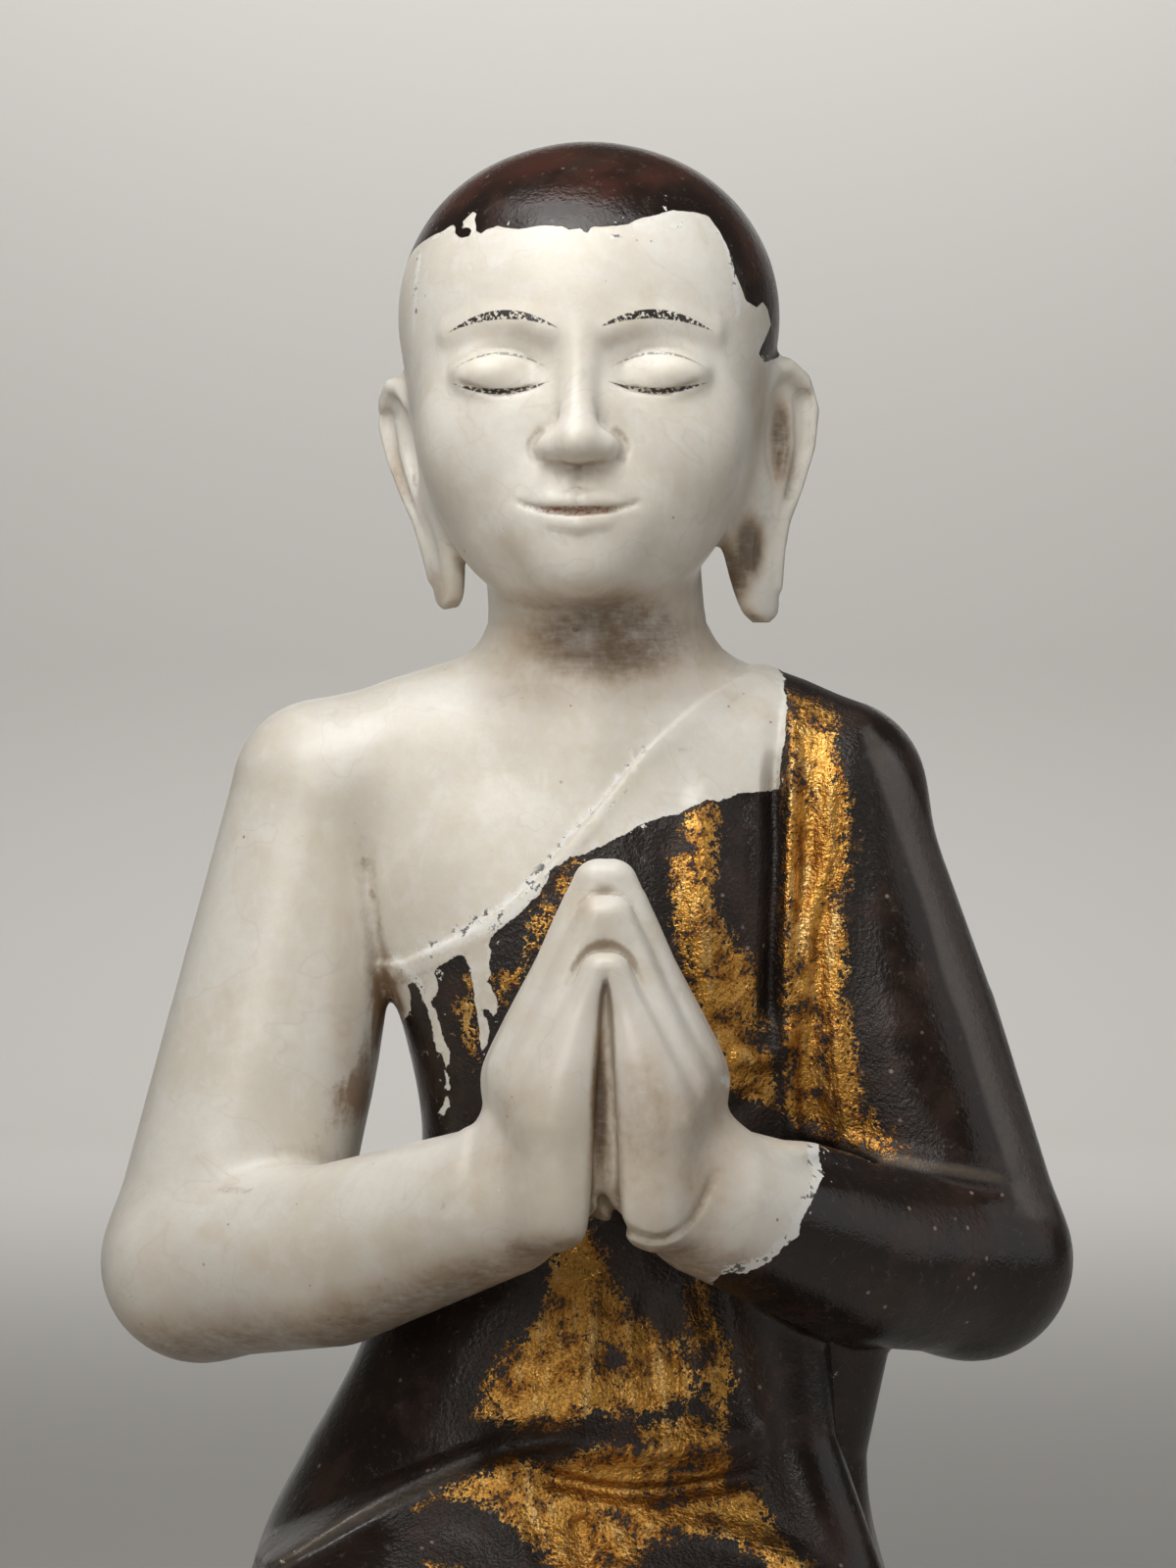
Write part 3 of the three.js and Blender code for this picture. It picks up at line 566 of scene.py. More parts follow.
def back_folds():
    folds = [fold(3, 12, (70, 400), (66, 330), (60, 250), (58, 180))]
    for n in range(6):
        drop = 30 * n
        folds.append(fold(
            -1.6, 4, (52, 372 - drop), (10, 338 - 1.15 * drop), (-30, 296 - 1.1 * drop), (-66, 276 - drop),
        ))
    return total(*folds)


def robe_relief():
    front, back = front_folds(), back_folds()

    def relief(x, y, z):
        below = robe_edge(x)[0] - z
        lip = 0.4 * smooth(9, 7, below) * smooth(0, 2, below)
        cloth = ROBE_THICK * smooth(0, 2.2, below) + lip
        folds = front(x, z) * smooth(12, -2, y) + back(x, z) * smooth(4, 16, y)
        return cloth + smooth(0, 4, below) * folds
    return relief


def sleeve():
    return egg((66, 6, 288), (42, 30, 68), (0, 8, 0))


def fall_of_cloth():
    return blend(
        6,
        limb((57, -37, 198, 16), (63, -36, 146, 15), (78, -40, 96, 17)),
        limb((84, -20, 190, 15), (75, -12, 140, 14), (71, -12, 88, 17)),
    )


def sleeve_relief():
    """The crease between the upper arm and the forearm, in the cloth that covers both."""
    crease = total(
        fold(1.6, 5, (58, 249), (80, 244.5), (98, 241), (116, 238), (142, 235)),
        fold(-1.4, 5, (58, 242), (80, 237.5), (98, 233.5), (116, 230.5), (140, 228)),
    )
    return lambda x, y, z: crease(x, z) * smooth(0, -12, y)


# Lap, legs and feet

def legs():
    """The legs, folded under the body with the knees well apart. The robe covers them down to the base."""
    return blend(
        24,
        loft([
            (20, -9, -9, 118, 104, 2.7),
            (55, -9, -9, 117, 103, 2.7),
            (80, -9, -6, 110, 96, 2.6),
            (100, -9, 1, 101, 84, 2.5),
            (122, -9, 7, 93, 66, 2.4),
            (140, -6, 6, 86, 54, 2.3),
        ]),
        limb((-38, 6, 108, 42), (-96, -80, 62, 38)),
        limb((36, 6, 92, 42), (76, -84, 57, 36)),
        egg((-9, 62, 84), (80, 42, 44)),
    )


def lap_relief():
    front = total(
        # the cloth gathered round the waist, with a crease under it
        fold(5, 10, (-40, 147), (-16, 149), (16, 147), (56, 149)),
        fold(-3.4, 5, (-22, 138), (12, 132), (54, 137)),
        # the crests of the thighs
        fold(4.2, 5.5, (-4, 153), (-20, 150), (-39, 144.6), (-70, 131), (-100, 114.5), (-124, 100)),
        fold(2.8, 6, (9, 124), (38, 120), (70, 110)),
        fold(-2.8, 7, (-8, 126), (-4, 104), (-6, 64)),
        fold(1.8, 5, (-28, 128), (-22, 100), (-30, 70)),
        fold(-1.8, 5, (18, 110), (24, 86), (18, 58)),
        fold(-1.8, 5, (-50, 104), (-52, 80), (-44, 58)),
        fold(-1.6, 5, (-84, 86), (-80, 68), (-66, 52)),
        fold(-1.6, 5, (62, 92), (58, 72), (44, 54)),
    )
    back = total(
        fold(-2.2, 6, (-90, 128), (-20, 112), (62, 130)),
        fold(-2.2, 6, (-94, 100), (-14, 86), (66, 104)),
        fold(-2, 6, (-70, 74), (-10, 62), (46, 76)),
    )

    def relief(x, y, z):
        hem = 1.6 * smooth(56, 54, z)
        return front(x, z) * smooth(0, -24, y) + back(x, z) * smooth(20, 40, y) + hem
    return relief


def feet():
    """The soles under the seat, toes to the back."""
    sole = limb((24, 72, 56, 16), (30, 98, 47, 12))
    toes = [
        limb((19 + 5.6 * n, 98, 44, 6.2 - 0.4 * n), (18 + 6 * n, 115 - 2 * n, 41, 5.2 - 0.4 * n))
        for n in range(5)
    ]
    return place((BASE_AT[0], 0, 0), (0, 0, 0), mirror(blend(4, sole, blend(1.5, *toes))))


def plinth():
    """The low base, with a shallow groove under its upper edge, flat underneath."""
    def field(x, y, z):
        side = oval(x - BASE_AT[0], y - BASE_AT[1], BASE_HALF_WIDTH, BASE_HALF_DEPTH, BASE_SQUARE)
        wall = side + 1.8 * (1 - smooth(0, 3, np.abs(z - BASE_HEIGHT + 11)))
        top = z - BASE_HEIGHT
        h = np.maximum(6 - np.abs(wall - top), 0) / 6
        return np.maximum(np.maximum(wall, top) + h * h * 1.5, -z)
    return field


trunk = blend(14, torso(), shoulders())
robed = raised(blend(12, trunk, sleeve(), left_upper_arm()), robe_relief())
cloaked = raised(blend(7, robed, left_forearm()), sleeve_relief())
skirts = raised(blend(5, blend(10, cloaked, legs()), fall_of_cloth()), lap_relief())
body_field = within((-160, -130, -10), (165, 125, 420), skirts)
arm_field = within((-172, -120, 160), (0, 45, 400), right_arm())
neck_field = within((-45, -40, 380), (45, 50, 490), neck())
hands_field = joined_hands()
head_field = within((-95, -80, 400), (90, 90, 592), head())
feet_field = within((-80, 50, 20), (60, 130, 80), feet())
plinth_field = within((-155, -135, -1), (137, 127, 36), plinth())


heel_lines = total(
    fold(-1.1, 2.6, (-2, 236), (1.5, 230), (9, 223.6), (18, 221), (26, 225), (32, 233), (37, 244)),
    fold(-0.9, 4, (-43, 268), (-40, 254), (-42, 240), (-50, 226)),
)


def statue(x, y, z):
    figure = join(14, neck_field(x, y, z), join(5, body_field(x, y, z), arm_field(x, y, z)))
    # the heels of the hands run smoothly into the wrists
    wrists = smooth(-80, -94, y) * smooth(272, 246, z)
    figure = join(5 + 11 * wrists, figure, hands_field(x, y, z)) - wrists * heel_lines(x, z)
    figure = join(6, figure, head_field(x, y, z))
    figure = join(3, join(3, figure, feet_field(x, y, z)), plinth_field(x, y, z))
    return np.maximum(figure, -z)


def worked_out(field, points):
    """The field's values at many points, worked out in slices side by side."""
    slices = np.array_split(points, max(1, len(points) // SLICE))
    with ThreadPoolExecutor(THREADS) as pool:
        return np.concatenate(list(pool.map(lambda part: field(*part.T.copy()), slices)))


# Drawing the surface

def grid_of(counts):
    """Every place in a grid of blocks, as rows of three whole numbers."""
    return np.stack(np.meshgrid(*[np.arange(n) for n in counts], indexing="ij"), axis=-1).reshape(-1, 3)


def sample():
    """The field on a fine grid, worked out only in the blocks that the surface passes through."""
    low, high = np.array(BOX_LOW, float), np.array(BOX_HIGH, float)
    blocks = np.ceil((high - low) / (BLOCK * CELL)).astype(int)
    size = blocks * BLOCK + 1
    half = BLOCK // 2
    reach = 1.3 * CELL

    def at_centres(index, step):
        return worked_out(statue, low + (index * step + step / 2) * CELL)

    every = grid_of(blocks)
    d = at_centres(every, BLOCK)
    inside = (d < 0).reshape(blocks)
    for axis in range(3):
        inside = np.repeat(inside, BLOCK, axis)
    values = np.full(size, 100, np.float32)
    values[:-1, :-1, :-1][inside] = -100
    near = every[np.abs(d) < BLOCK * reach]
    finer = (near[:, None] * 2 + grid_of((2, 2, 2))).reshape(-1, 3)
    finer = finer[np.abs(at_centres(finer, half)) < half * reach]
    grid = (finer[:, None] * half + grid_of([half + 1] * 3)).reshape(-1, 3)
    wanted = np.zeros(size, bool)
    wanted[tuple(grid.T)] = True
    at = np.argwhere(wanted)
    values[tuple(at.T)] = worked_out(statue, low + at * CELL)
    return values, low


def crossings(values, cells):
    """For each cell, the mean of the places where the surface crosses its edges."""
    corners = grid_of((2, 2, 2))
    at_corner = {tuple(c): values[tuple((cells + c).T)] for c in corners}
    places = np.zeros((len(cells), 3))
    hits = np.zeros(len(cells))
    for axis in range(3):
        for c in corners:
            if c[axis]:
                continue
            a, b = at_corner[tuple(c)], at_corner[tuple(c + np.eye(3, dtype=int)[axis])]
            crossed = (a < 0) != (b < 0)
            t = np.where(crossed, a / np.where(crossed, a - b, 1), 0)
            point = np.tile(c.astype(float), (len(cells), 1))
            point[:, axis] += t
            places[crossed] += point[crossed]
            hits += crossed
    return places / hits[:, None]


def draw():
    """Points and four-sided faces through the zero level, with one point in each cell that it crosses."""
    values, low = sample()
    solid = values < 0
    size = np.array(values.shape)

    def shifted(i, j, k):
        return solid[i:size[0] - 1 + i, j:size[1] - 1 + j, k:size[2] - 1 + k]

    count = sum(shifted(*c).astype(np.uint8) for c in grid_of((2, 2, 2)))
    cells = np.argwhere((count > 0) & (count < 8))
    number = np.full(size - 1, -1, np.int32)
    number[tuple(cells.T)] = np.arange(len(cells))
    faces = []
    for axis in range(3):
        step, back, aside = np.roll(np.eye(3, dtype=int), axis, axis=1)
        edges = np.argwhere(shifted(0, 0, 0) != shifted(*step))
        edges = edges[(edges @ back > 0) & (edges @ aside > 0)]
        ring = [number[tuple((edges - shift).T)] for shift in (back + aside, aside, 0 * aside, back)]
        quads = np.stack(ring, axis=1)
        flip = ~solid[tuple(edges.T)]
        quads[flip] = quads[flip][:, ::-1]
        faces.append(quads)
    return low + (cells + crossings(values, cells)) * CELL, np.concatenate(faces)


def slope(field, points, step=0.25):
    """The field's values at points, and how fast it grows along x, y and z there."""
    here = worked_out(field, points)
    ahead = [worked_out(field, points + step * np.eye(3)[axis]) for axis in range(3)]
    return here, (np.stack(ahead, axis=1) - here[:, None]) / step


def settled(points):
    """Moves points onto the exact surface."""
    for _ in range(2):
        d, g = slope(statue, points)
        move = d[:, None] * g / np.maximum((g ** 2).sum(axis=1), 0.2)[:, None]
        points = points - np.clip(move, -CELL / 2, CELL / 2)
    points[:, 2] = np.maximum(points[:, 2], 0)
    return points


# Where the coatings lie: distances in millimetres from their edges, positive inside

def region(points):
    """Distance inside a closed outline in a plane, negative outside it."""
    p = np.array(points, float)

    def field(u, v):
        best = np.full(u.shape, np.inf)
        inside = np.zeros(u.shape, bool)
        for (ax, ay), (bx, by) in zip(p, np.roll(p, -1, axis=0)):
            dx, dy = bx - ax, by - ay
            t = np.clip(((u - ax) * dx + (v - ay) * dy) / (dx * dx + dy * dy), 0, 1)
            best = np.minimum(best, (u - ax - dx * t) ** 2 + (v - ay - dy * t) ** 2)
            inside ^= ((ay > v) != (by > v)) & (u < ax + (v - ay) * dx / (dy or 1))
        return np.where(inside, 1, -1) * np.sqrt(best)
    return field


def seen(points):
    """The same points in the upright plane through the middle of the figure, as the camera sees them."""
    return [((px - ORIGIN_PIXEL[0]) * PIXEL, (ORIGIN_PIXEL[1] - py) * PIXEL) for px, py in points]


def towards_camera(x, y, z):
    """Where the camera sees a point in that plane."""
    near = -CAMERA_AT[1] / (y - CAMERA_AT[1])
    return CAMERA_AT[0] + (x - CAMERA_AT[0]) * near, CAMERA_AT[2] + (z - CAMERA_AT[2]) * near


def seen_fold(height, width, *points):
    return fold(height, width, *seen(points))


# Outlines as the camera sees them, in pixels of its 1200 by 1600 picture
CHEST_COAT = region(seen([
    (797, 640), (800, 690), (804, 716), (800, 760), (795, 806), (762, 808), (740, 816), (718, 818),
    (690, 830), (664, 838), (640, 850), (618, 861), (601, 868), (581, 876), (571, 882), (563, 889),
    (560, 898), (550, 912), (540, 923), (531, 931), (523, 938), (511, 946), (503, 953), (499, 962),
    (501, 973), (499, 984), (501, 996), (495, 1002), (501, 1006), (505, 1017), (509, 1029), (504, 1037),
    (499, 1030), (491, 1026), (488, 1029), (497, 1041), (500, 1050), (498, 1066), (492, 1074), (489, 1060),
    (489, 1048), (488, 1036), (485, 1023), (482, 1005), (478, 988), (475, 977), (470, 974), (463, 975),
    (455, 981), (447, 988), (444, 994), (447, 1003), (446, 1011), (442, 1017), (438, 1020), (442, 1028),
    (446, 1037), (450, 1049), (451, 1061), (450, 1074), (447, 1073), (445, 1062), (443, 1052), (440, 1040),
    (435, 1029), (430, 1018), (427, 1010), (421, 1003), (416, 1005), (418, 1012), (417, 1035), (412, 1041),
    (403, 1032), (394, 1012), (387, 1010), (384, 1018), (360, 1014), (100, 1010), (100, 2100), (1500, 2100),
    (1500, 640),
]))
# Streaks where the lacquer has run off the marble
WORN_THROUGH = [region(seen(points)) for points in (
    [(451, 1058), (455, 1064), (458, 1072), (458, 1084), (455, 1088), (452, 1076)],
    [(454, 1092), (459, 1098), (459, 1112), (455, 1112)],
    [(457, 1118), (460, 1128), (452, 1138), (446, 1136)],
)]
BARE_HAND = region(seen([
    (800, 1100), (829, 1150), (836, 1166), (834, 1180), (840, 1200), (833, 1218), (820, 1240), (814, 1262),
    (800, 1272), (786, 1288), (760, 1299), (735, 1301), (700, 1340), (430, 1340), (430, 1100),
]))
GOLD_PATCHES = [region(seen(points)) for points in (
    # the strip over the shoulder
    [
        (802, 704), (830, 708), (856, 730), (858, 760), (862, 790), (871, 820), (873, 860), (870, 900),
        (860, 930), (870, 965), (868, 990), (860, 1010), (872, 1040), (880, 1090), (884, 1126), (905, 1150),
        (932, 1172), (928, 1184), (885, 1180), (850, 1166), (815, 1150), (798, 1140), (796, 1060),
        (796, 1000), (793, 960), (793, 900), (797, 800), (804, 740),
    ],
    # the chest
    [
        (700, 828), (722, 816), (738, 828), (733, 850), (736, 870), (728, 900), (736, 930), (744, 952),
        (758, 966), (774, 978), (778, 1004), (774, 1022), (784, 1036), (792, 1048), (770, 1054),
        (788, 1068), (794, 1090), (797, 1136), (780, 1132), (744, 1116), (728, 1098), (716, 1070),
        (706, 1040), (694, 1000), (690, 970), (682, 940), (680, 900), (686, 862),
    ],
    # beside the hands
    [(566, 884), (600, 872), (596, 900), (570, 930), (552, 965), (536, 980), (530, 960), (548, 925)],
    [(501, 995), (511, 990), (540, 986), (530, 1010), (508, 1030), (504, 1012)],
    [
        (467, 990), (482, 998), (485, 1023), (489, 1050), (490, 1080), (483, 1096), (477, 1080), (472, 1060),
        (465, 1040), (457, 1026), (470, 1018), (476, 1008),
    ],
    # the belly
    [
        (600, 1240), (572, 1262), (556, 1292), (550, 1340), (520, 1368), (498, 1402), (480, 1446),
        (520, 1456), (560, 1462), (604, 1446), (640, 1452), (690, 1436), (716, 1430), (708, 1392),
        (684, 1352), (650, 1342), (630, 1306), (616, 1270),
    ],
    [
        (700, 1306), (722, 1306), (726, 1336), (744, 1366), (752, 1400), (746, 1446), (738, 1484),
        (722, 1440), (708, 1396), (700, 1350),
    ],
    # the waist and the lap
    [
        (484, 1500), (520, 1482), (560, 1496), (600, 1478), (650, 1452), (700, 1436), (740, 1462),
        (752, 1498), (772, 1516), (800, 1566), (832, 1600), (812, 1640), (780, 1600), (730, 1566),
        (700, 1570), (662, 1582), (640, 1620), (600, 1690), (560, 1716), (552, 1650), (556, 1590),
        (526, 1568), (500, 1540), (462, 1532), (420, 1540), (440, 1524),
    ],
    [(430, 1590), (470, 1600), (460, 1640), (500, 1700), (470, 1730), (440, 1680)],
    [(700, 1620), (742, 1640), (760, 1690), (740, 1730), (716, 1690)],
)]

# Above this height only the hair is lacquered, and the foot of the base is bare
COAT_TOP = 412
BARE_FOOT = 3.5

# Chalky white lines, as the camera sees them: the rubbed edge of the robe, the borders of the hair
CHALK = total(
    seen_fold(0.75, 1.3, (672, 748), (640, 784), (606, 825), (572, 863), (542, 899), (510, 925), (450, 960)),
    seen_fold(0.5, 0.8, (676, 770), (640, 806), (606, 842), (566, 884), (530, 922), (490, 952)),
    seen_fold(0.8, 5, (560, 896), (520, 932), (470, 958), (420, 976)),
    seen_fold(0.9, 2.0, (722, 218), (734, 234), (744, 258), (750, 284), (753, 312), (752, 334)),
    seen_fold(0.8, 1.6, (430, 250), (427, 268), (424, 300), (422, 330), (424, 352)),
    seen_fold(0.7, 1.6, (436, 250), (446, 240), (458, 233), (470, 236)),
    seen_fold(0.7, 1.4, (566, 246), (600, 246), (640, 240), (680, 232), (716, 226)),
    seen_fold(0.9, 3.0, (398, 968), (416, 990), (428, 1004), (440, 1012)),
    seen_fold(0.4, 1.2, (440, 1190), (470, 1206), (505, 1212), (520, 1226)),
)

# The edge of the robe behind, and gold that is left there: x across, z up
BACK_COAT = region([
    (-64, 300), (-45, 312), (-20, 334), (0, 354), (30, 384), (60, 404), (60, 480), (300, 480), (300, -50),
    (-300, -50), (-300, 300),
])
BACK_GOLD = [region(points) for points in (
    [(58, 404), (84, 400), (90, 372), (80, 340), (86, 310), (74, 280), (60, 300), (64, 340), (54, 372)],
    [(-40, 150), (-10, 168), (24, 160), (50, 140), (40, 118), (4, 126), (-30, 122)],
    [(-60, 262), (-30, 286), (-6, 300), (-14, 276), (-40, 250)],
)]

# The hairline, with the head's skin rolled out flat: arc from the middle of the face, height over the eyes
HAIR_ARC = 60
HAIR_FOOT = -60
HAIRLINE = region([
    (-189, -42), (-136, -35), (-115, 0), (-99, 30), (-93, 37.5), (-83, 42.6), (-70, 45), (-60.5, 46.5),
    (-55.4, 48.4), (-52.9, 47.3), (-51.8, 45.3), (-47.7, 43.3), (-43.4, 43.5), (-43.3, 45.2), (-44.8, 46.4),
    (-48.2, 46.7), (-50.2, 49), (-48.8, 50.6), (-47.4, 52.4), (-44.6, 51.5), (-44.2, 49.3), (-42, 47.1),
    (-41.2, 45), (-38.1, 43.8), (-36.5, 45.1), (-32, 46.3), (-23, 44.7), (-14, 45.7), (-5.6, 45.4),
    (-4.4, 44), (0.7, 44.8), (2.3, 42.4), (4.6, 45), (11, 45.2), (18, 46), (22, 48), (31, 50), (38, 51.8),
    (48, 51.6), (55, 50.6), (57, 46), (58.6, 39), (59.2, 32), (61, 28), (63.5, 23), (70, 21), (75, 23.4),
    (79, 21.4), (83, 16.5), (78, 12), (72, 6), (78, 3.6), (92, 6), (100, 8), (115, 0), (130, -25),
    (157, -38), (189, -42), (189, 300), (-189, 300),
])

# Marks on the marble, as the camera sees them: x, y, half width, half height in pixels, strength
STAINS = (
    (392, 1014, 18, 30, 1.3), (404, 1000, 16, 18, 0.6), (398, 1030, 16, 24, 1.2),
    (365, 1116, 17, 32, 1.1), (385, 1056, 10, 24, 1.0), (352, 1122, 24, 34, 0.7), (372, 1100, 10, 60, 0.7),
    (340, 1150, 34, 40, 0.3), (238, 1214, 30, 7, 0.5), (322, 1082, 14, 10, 0.4), (372, 882, 7, 14, 0.5),
    (380, 912, 6, 18, 0.5), (388, 945, 6, 22, 0.4), (396, 975, 8, 14, 0.5), (697, 764, 18, 12, 0.4),
    (222, 1304, 8, 5, 0.5), (420, 1015, 10, 20, 0.5), (447, 985, 20, 12, 0.35), (352, 1000, 8, 6, 0.4),
    (520, 1316, 7, 4, 0.5), (360, 1330, 12, 5, 0.4), (632, 261, 7, 3, 0.4), (505, 1095, 6, 14, 0.3),
)
# Dirt with painted shade: under the chin, behind the jaw, in the ears, on the hands, and their shadow on the
# belly
GRIME_AND_SHADE_MARKS = (
    (622, 650, 124, 66, 0.78), (640, 690, 130, 46, 0.35), (556, 690, 90, 56, 0.4), (706, 640, 60, 80, 0.42),
    (590, 1050, 110, 130, 0.2), (400, 1034, 18, 26, 1.0), (748, 585, 26, 40, 0.9), (764, 560, 20, 44, 0.9),
    (797, 450, 15, 58, 0.8), (775, 410, 12, 60, 0.4), (404, 500, 10, 70, 0.4), (446, 600, 16, 26, 0.4),
    (860, 420, 10, 50, 0.25), (612, 1130, 12, 100, 0.9), (660, 1150, 46, 130, 0.48),
    (715, 1160, 60, 130, 0.42), (540, 1180, 90, 120, 0.3), (590, 925, 16, 60, 0.3),
    (470, 1190, 50, 40, 0.15), (352, 1010, 20, 190, 0.3), (180, 1290, 70, 60, 0.2),
    (350, 1290, 190, 50, 0.22), (600, 1340, 170, 100, 0.7), (600, 1500, 200, 120, 0.35),
)

# A painted sheen: the dim grey band down the sleeve. Dust in the crease at the elbow, and dust with a
# painted sheen on the crest of the thigh
PAINTED_SHEEN_BAND = region(seen([
    (878, 743), (894, 791), (916, 850), (944, 927), (962, 995), (985, 1055), (1003, 1118), (1025, 1182),
    (1040, 1240), (1080, 1250), (1071, 1214), (1053, 1159), (1035, 1105), (1012, 1036), (994, 982),
    (975, 923), (955, 868), (937, 814), (916, 773), (887, 739),
]))
DUST_AND_SHEEN_LINES = total(
    seen_fold(1, 3.4, (850, 1164), (882, 1175), (930, 1187), (985, 1196), (1040, 1206)),
    seen_fold(0.75, 5, (262, 1612), (320, 1574), (370, 1545), (420, 1524), (500, 1482)),
)


# Turns the difference of two fields into the distance from the line where their surfaces meet
MEETING = 0.7


def coat_depth(x, y, z):
    """How far a point on the surface lies inside the lacquer."""
    u, v = towards_camera(x, y, z)
    rest = np.minimum(robed(x, y, z), np.minimum(legs()(x, y, z), fall_of_cloth()(x, y, z)))
    body = np.minimum(rest, left_forearm()(x, y, z))
    robe = lerp(CHEST_COAT(u, v), BACK_COAT(x, z), smooth(-6, 14, y))
    bare = (
        MEETING * (body - arm_field(x, y, z)),
        MEETING * (body - hands_field(x, y, z)),
        MEETING * (rest - feet_field(x, y, z)),
        np.minimum(BARE_HAND(u, v), MEETING * (rest - left_forearm()(x, y, z)) + 1),
    )
    for part in bare:
        robe = np.minimum(robe, -part)
    for spot in WORN_THROUGH:
        robe = np.where(y < 0, np.minimum(robe, -spot(u, v)), robe)
    robe = np.minimum(robe, COAT_TOP - z)
    on_base = smooth(-1, 1, body - plinth_field(x, y, z))
    return lerp(robe, z - BARE_FOOT, on_base)


def hair_depth(x, y, z):
    """How far a point on the surface lies inside the hair, which is lacquered too."""
    hx, hy, hz = own_frame(HEAD_AT, HEAD_TURN, x, y, z)
    cap = HAIRLINE(np.arctan2(hx, -hy) * HAIR_ARC, hz)
    on_ear = face_only(hx, hy, hz) - ears_only(hx, hy, hz)
    return np.where(hz > HAIR_FOOT, np.minimum(cap, -MEETING * on_ear), HAIR_FOOT)


def gold_depth(x, y, z, facing):
    """How far a point on the surface lies inside the gold leaf. Facing is 1 in front and 0 behind."""
    u, v = towards_camera(x, y, z)
    front = np.max([patch(u, v) for patch in GOLD_PATCHES], axis=0)
    back = np.max([patch(x, z) for patch in BACK_GOLD], axis=0)
    return lerp(back, front, facing)


def mark_strength(marks, u, v):
    """How strong the strongest of the marks is where the camera sees it."""
    strength = np.zeros(u.shape)
    for px, py, half_width, half_height, most in marks:
        (cu, cv), = seen([(px, py)])
        r = np.hypot((u - cu) / (half_width * PIXEL), (v - cv) / (half_height * PIXEL))
        strength = np.maximum(strength, most * (1 - smooth(0.3, 1.3, r)))
    return strength


def chalk_strength(u, v):
    """Chalky lines, and the chalky border of the sleeve at the wrist."""
    inside = BARE_HAND(u, v)
    cuff = smooth(5.5, 1, inside) * (inside > -1) * smooth(38, 44, u)
    return np.maximum(CHALK(u, v), cuff)


def dust_and_sheen_strength(u, v):
    """Painted sheen down the sleeve, dust at the elbow, and dust with painted sheen on the crest of the
    thigh.
    """
    return np.maximum(0.5 * smooth(-1.2, 1.2, PAINTED_SHEEN_BAND(u, v)), DUST_AND_SHEEN_LINES(u, v))


# The piece

def add_object(name, data):
    thing = bpy.data.objects.new(name, data)
    bpy.context.scene.collection.objects.link(thing)
    return thing


def mesh_of(points, faces):
    mesh = bpy.data.meshes.new("kneeling_monk_carving")
    mesh.vertices.add(len(points))
    mesh.vertices.foreach_set("co", (points * 0.001).astype(np.float32).ravel())
    mesh.loops.add(faces.size)
    mesh.loops.foreach_set("vertex_index", faces.astype(np.int32).ravel())
    mesh.polygons.add(len(faces))
    width = faces.shape[1]
    mesh.polygons.foreach_set("loop_start", np.arange(0, faces.size, width, dtype=np.int32))
    mesh.update(calc_edges=True)
    return mesh


def thinned(mesh, spare):
    """The mesh with fewer triangles: long ones where it is even, short ones where it turns.

    Points that aren't spare stay, because the edge of a coating runs by them.
    """
    piece = add_object("carving_draft", mesh)
    group = piece.vertex_groups.new(name="spare")
    group.add(np.flatnonzero(spare).tolist(), 1, "REPLACE")
    fewer = piece.modifiers.new("fewer", "DECIMATE")
    fewer.ratio = TRIANGLES / (2 * len(mesh.polygons))
    fewer.use_collapse_triangulate = True
    fewer.vertex_group = "spare"
    thin = bpy.data.meshes.new_from_object(piece.evaluated_get(bpy.context.evaluated_depsgraph_get()))
    bpy.data.objects.remove(piece)
    bpy.data.meshes.remove(mesh)
    return thin


LAYERS = ("coat", "hair", "gold", "stain", "grime_and_shade", "chalk", "dust_and_sheen", "crease", "hollow", "ridge")

# How much the undersides of the arms and of the chin are darkened, with dirt and painted shade
ARM_UNDERSIDE_DIRT_AND_SHADE = 0.72
CHIN_UNDERSIDE_DIRT_AND_SHADE = 0.3

# How far from the surface a crease, a wide hollow and a ridge are felt, in millimetres
CREASE_REACH = 3.5
HOLLOW_REACH = 14
RIDGE_REACH = 3


def enclosed(points, normals, reach):
    """How much of the way out from the surface is still close to stone, from 0 to 1."""
    return np.clip(1 - worked_out(statue, points + reach * normals) / reach, 0, 1)


def facing_front(points, normals):
    return smooth(0.35, -0.1, normals[:, 1]) * smooth(40, 20, points[:, 1])


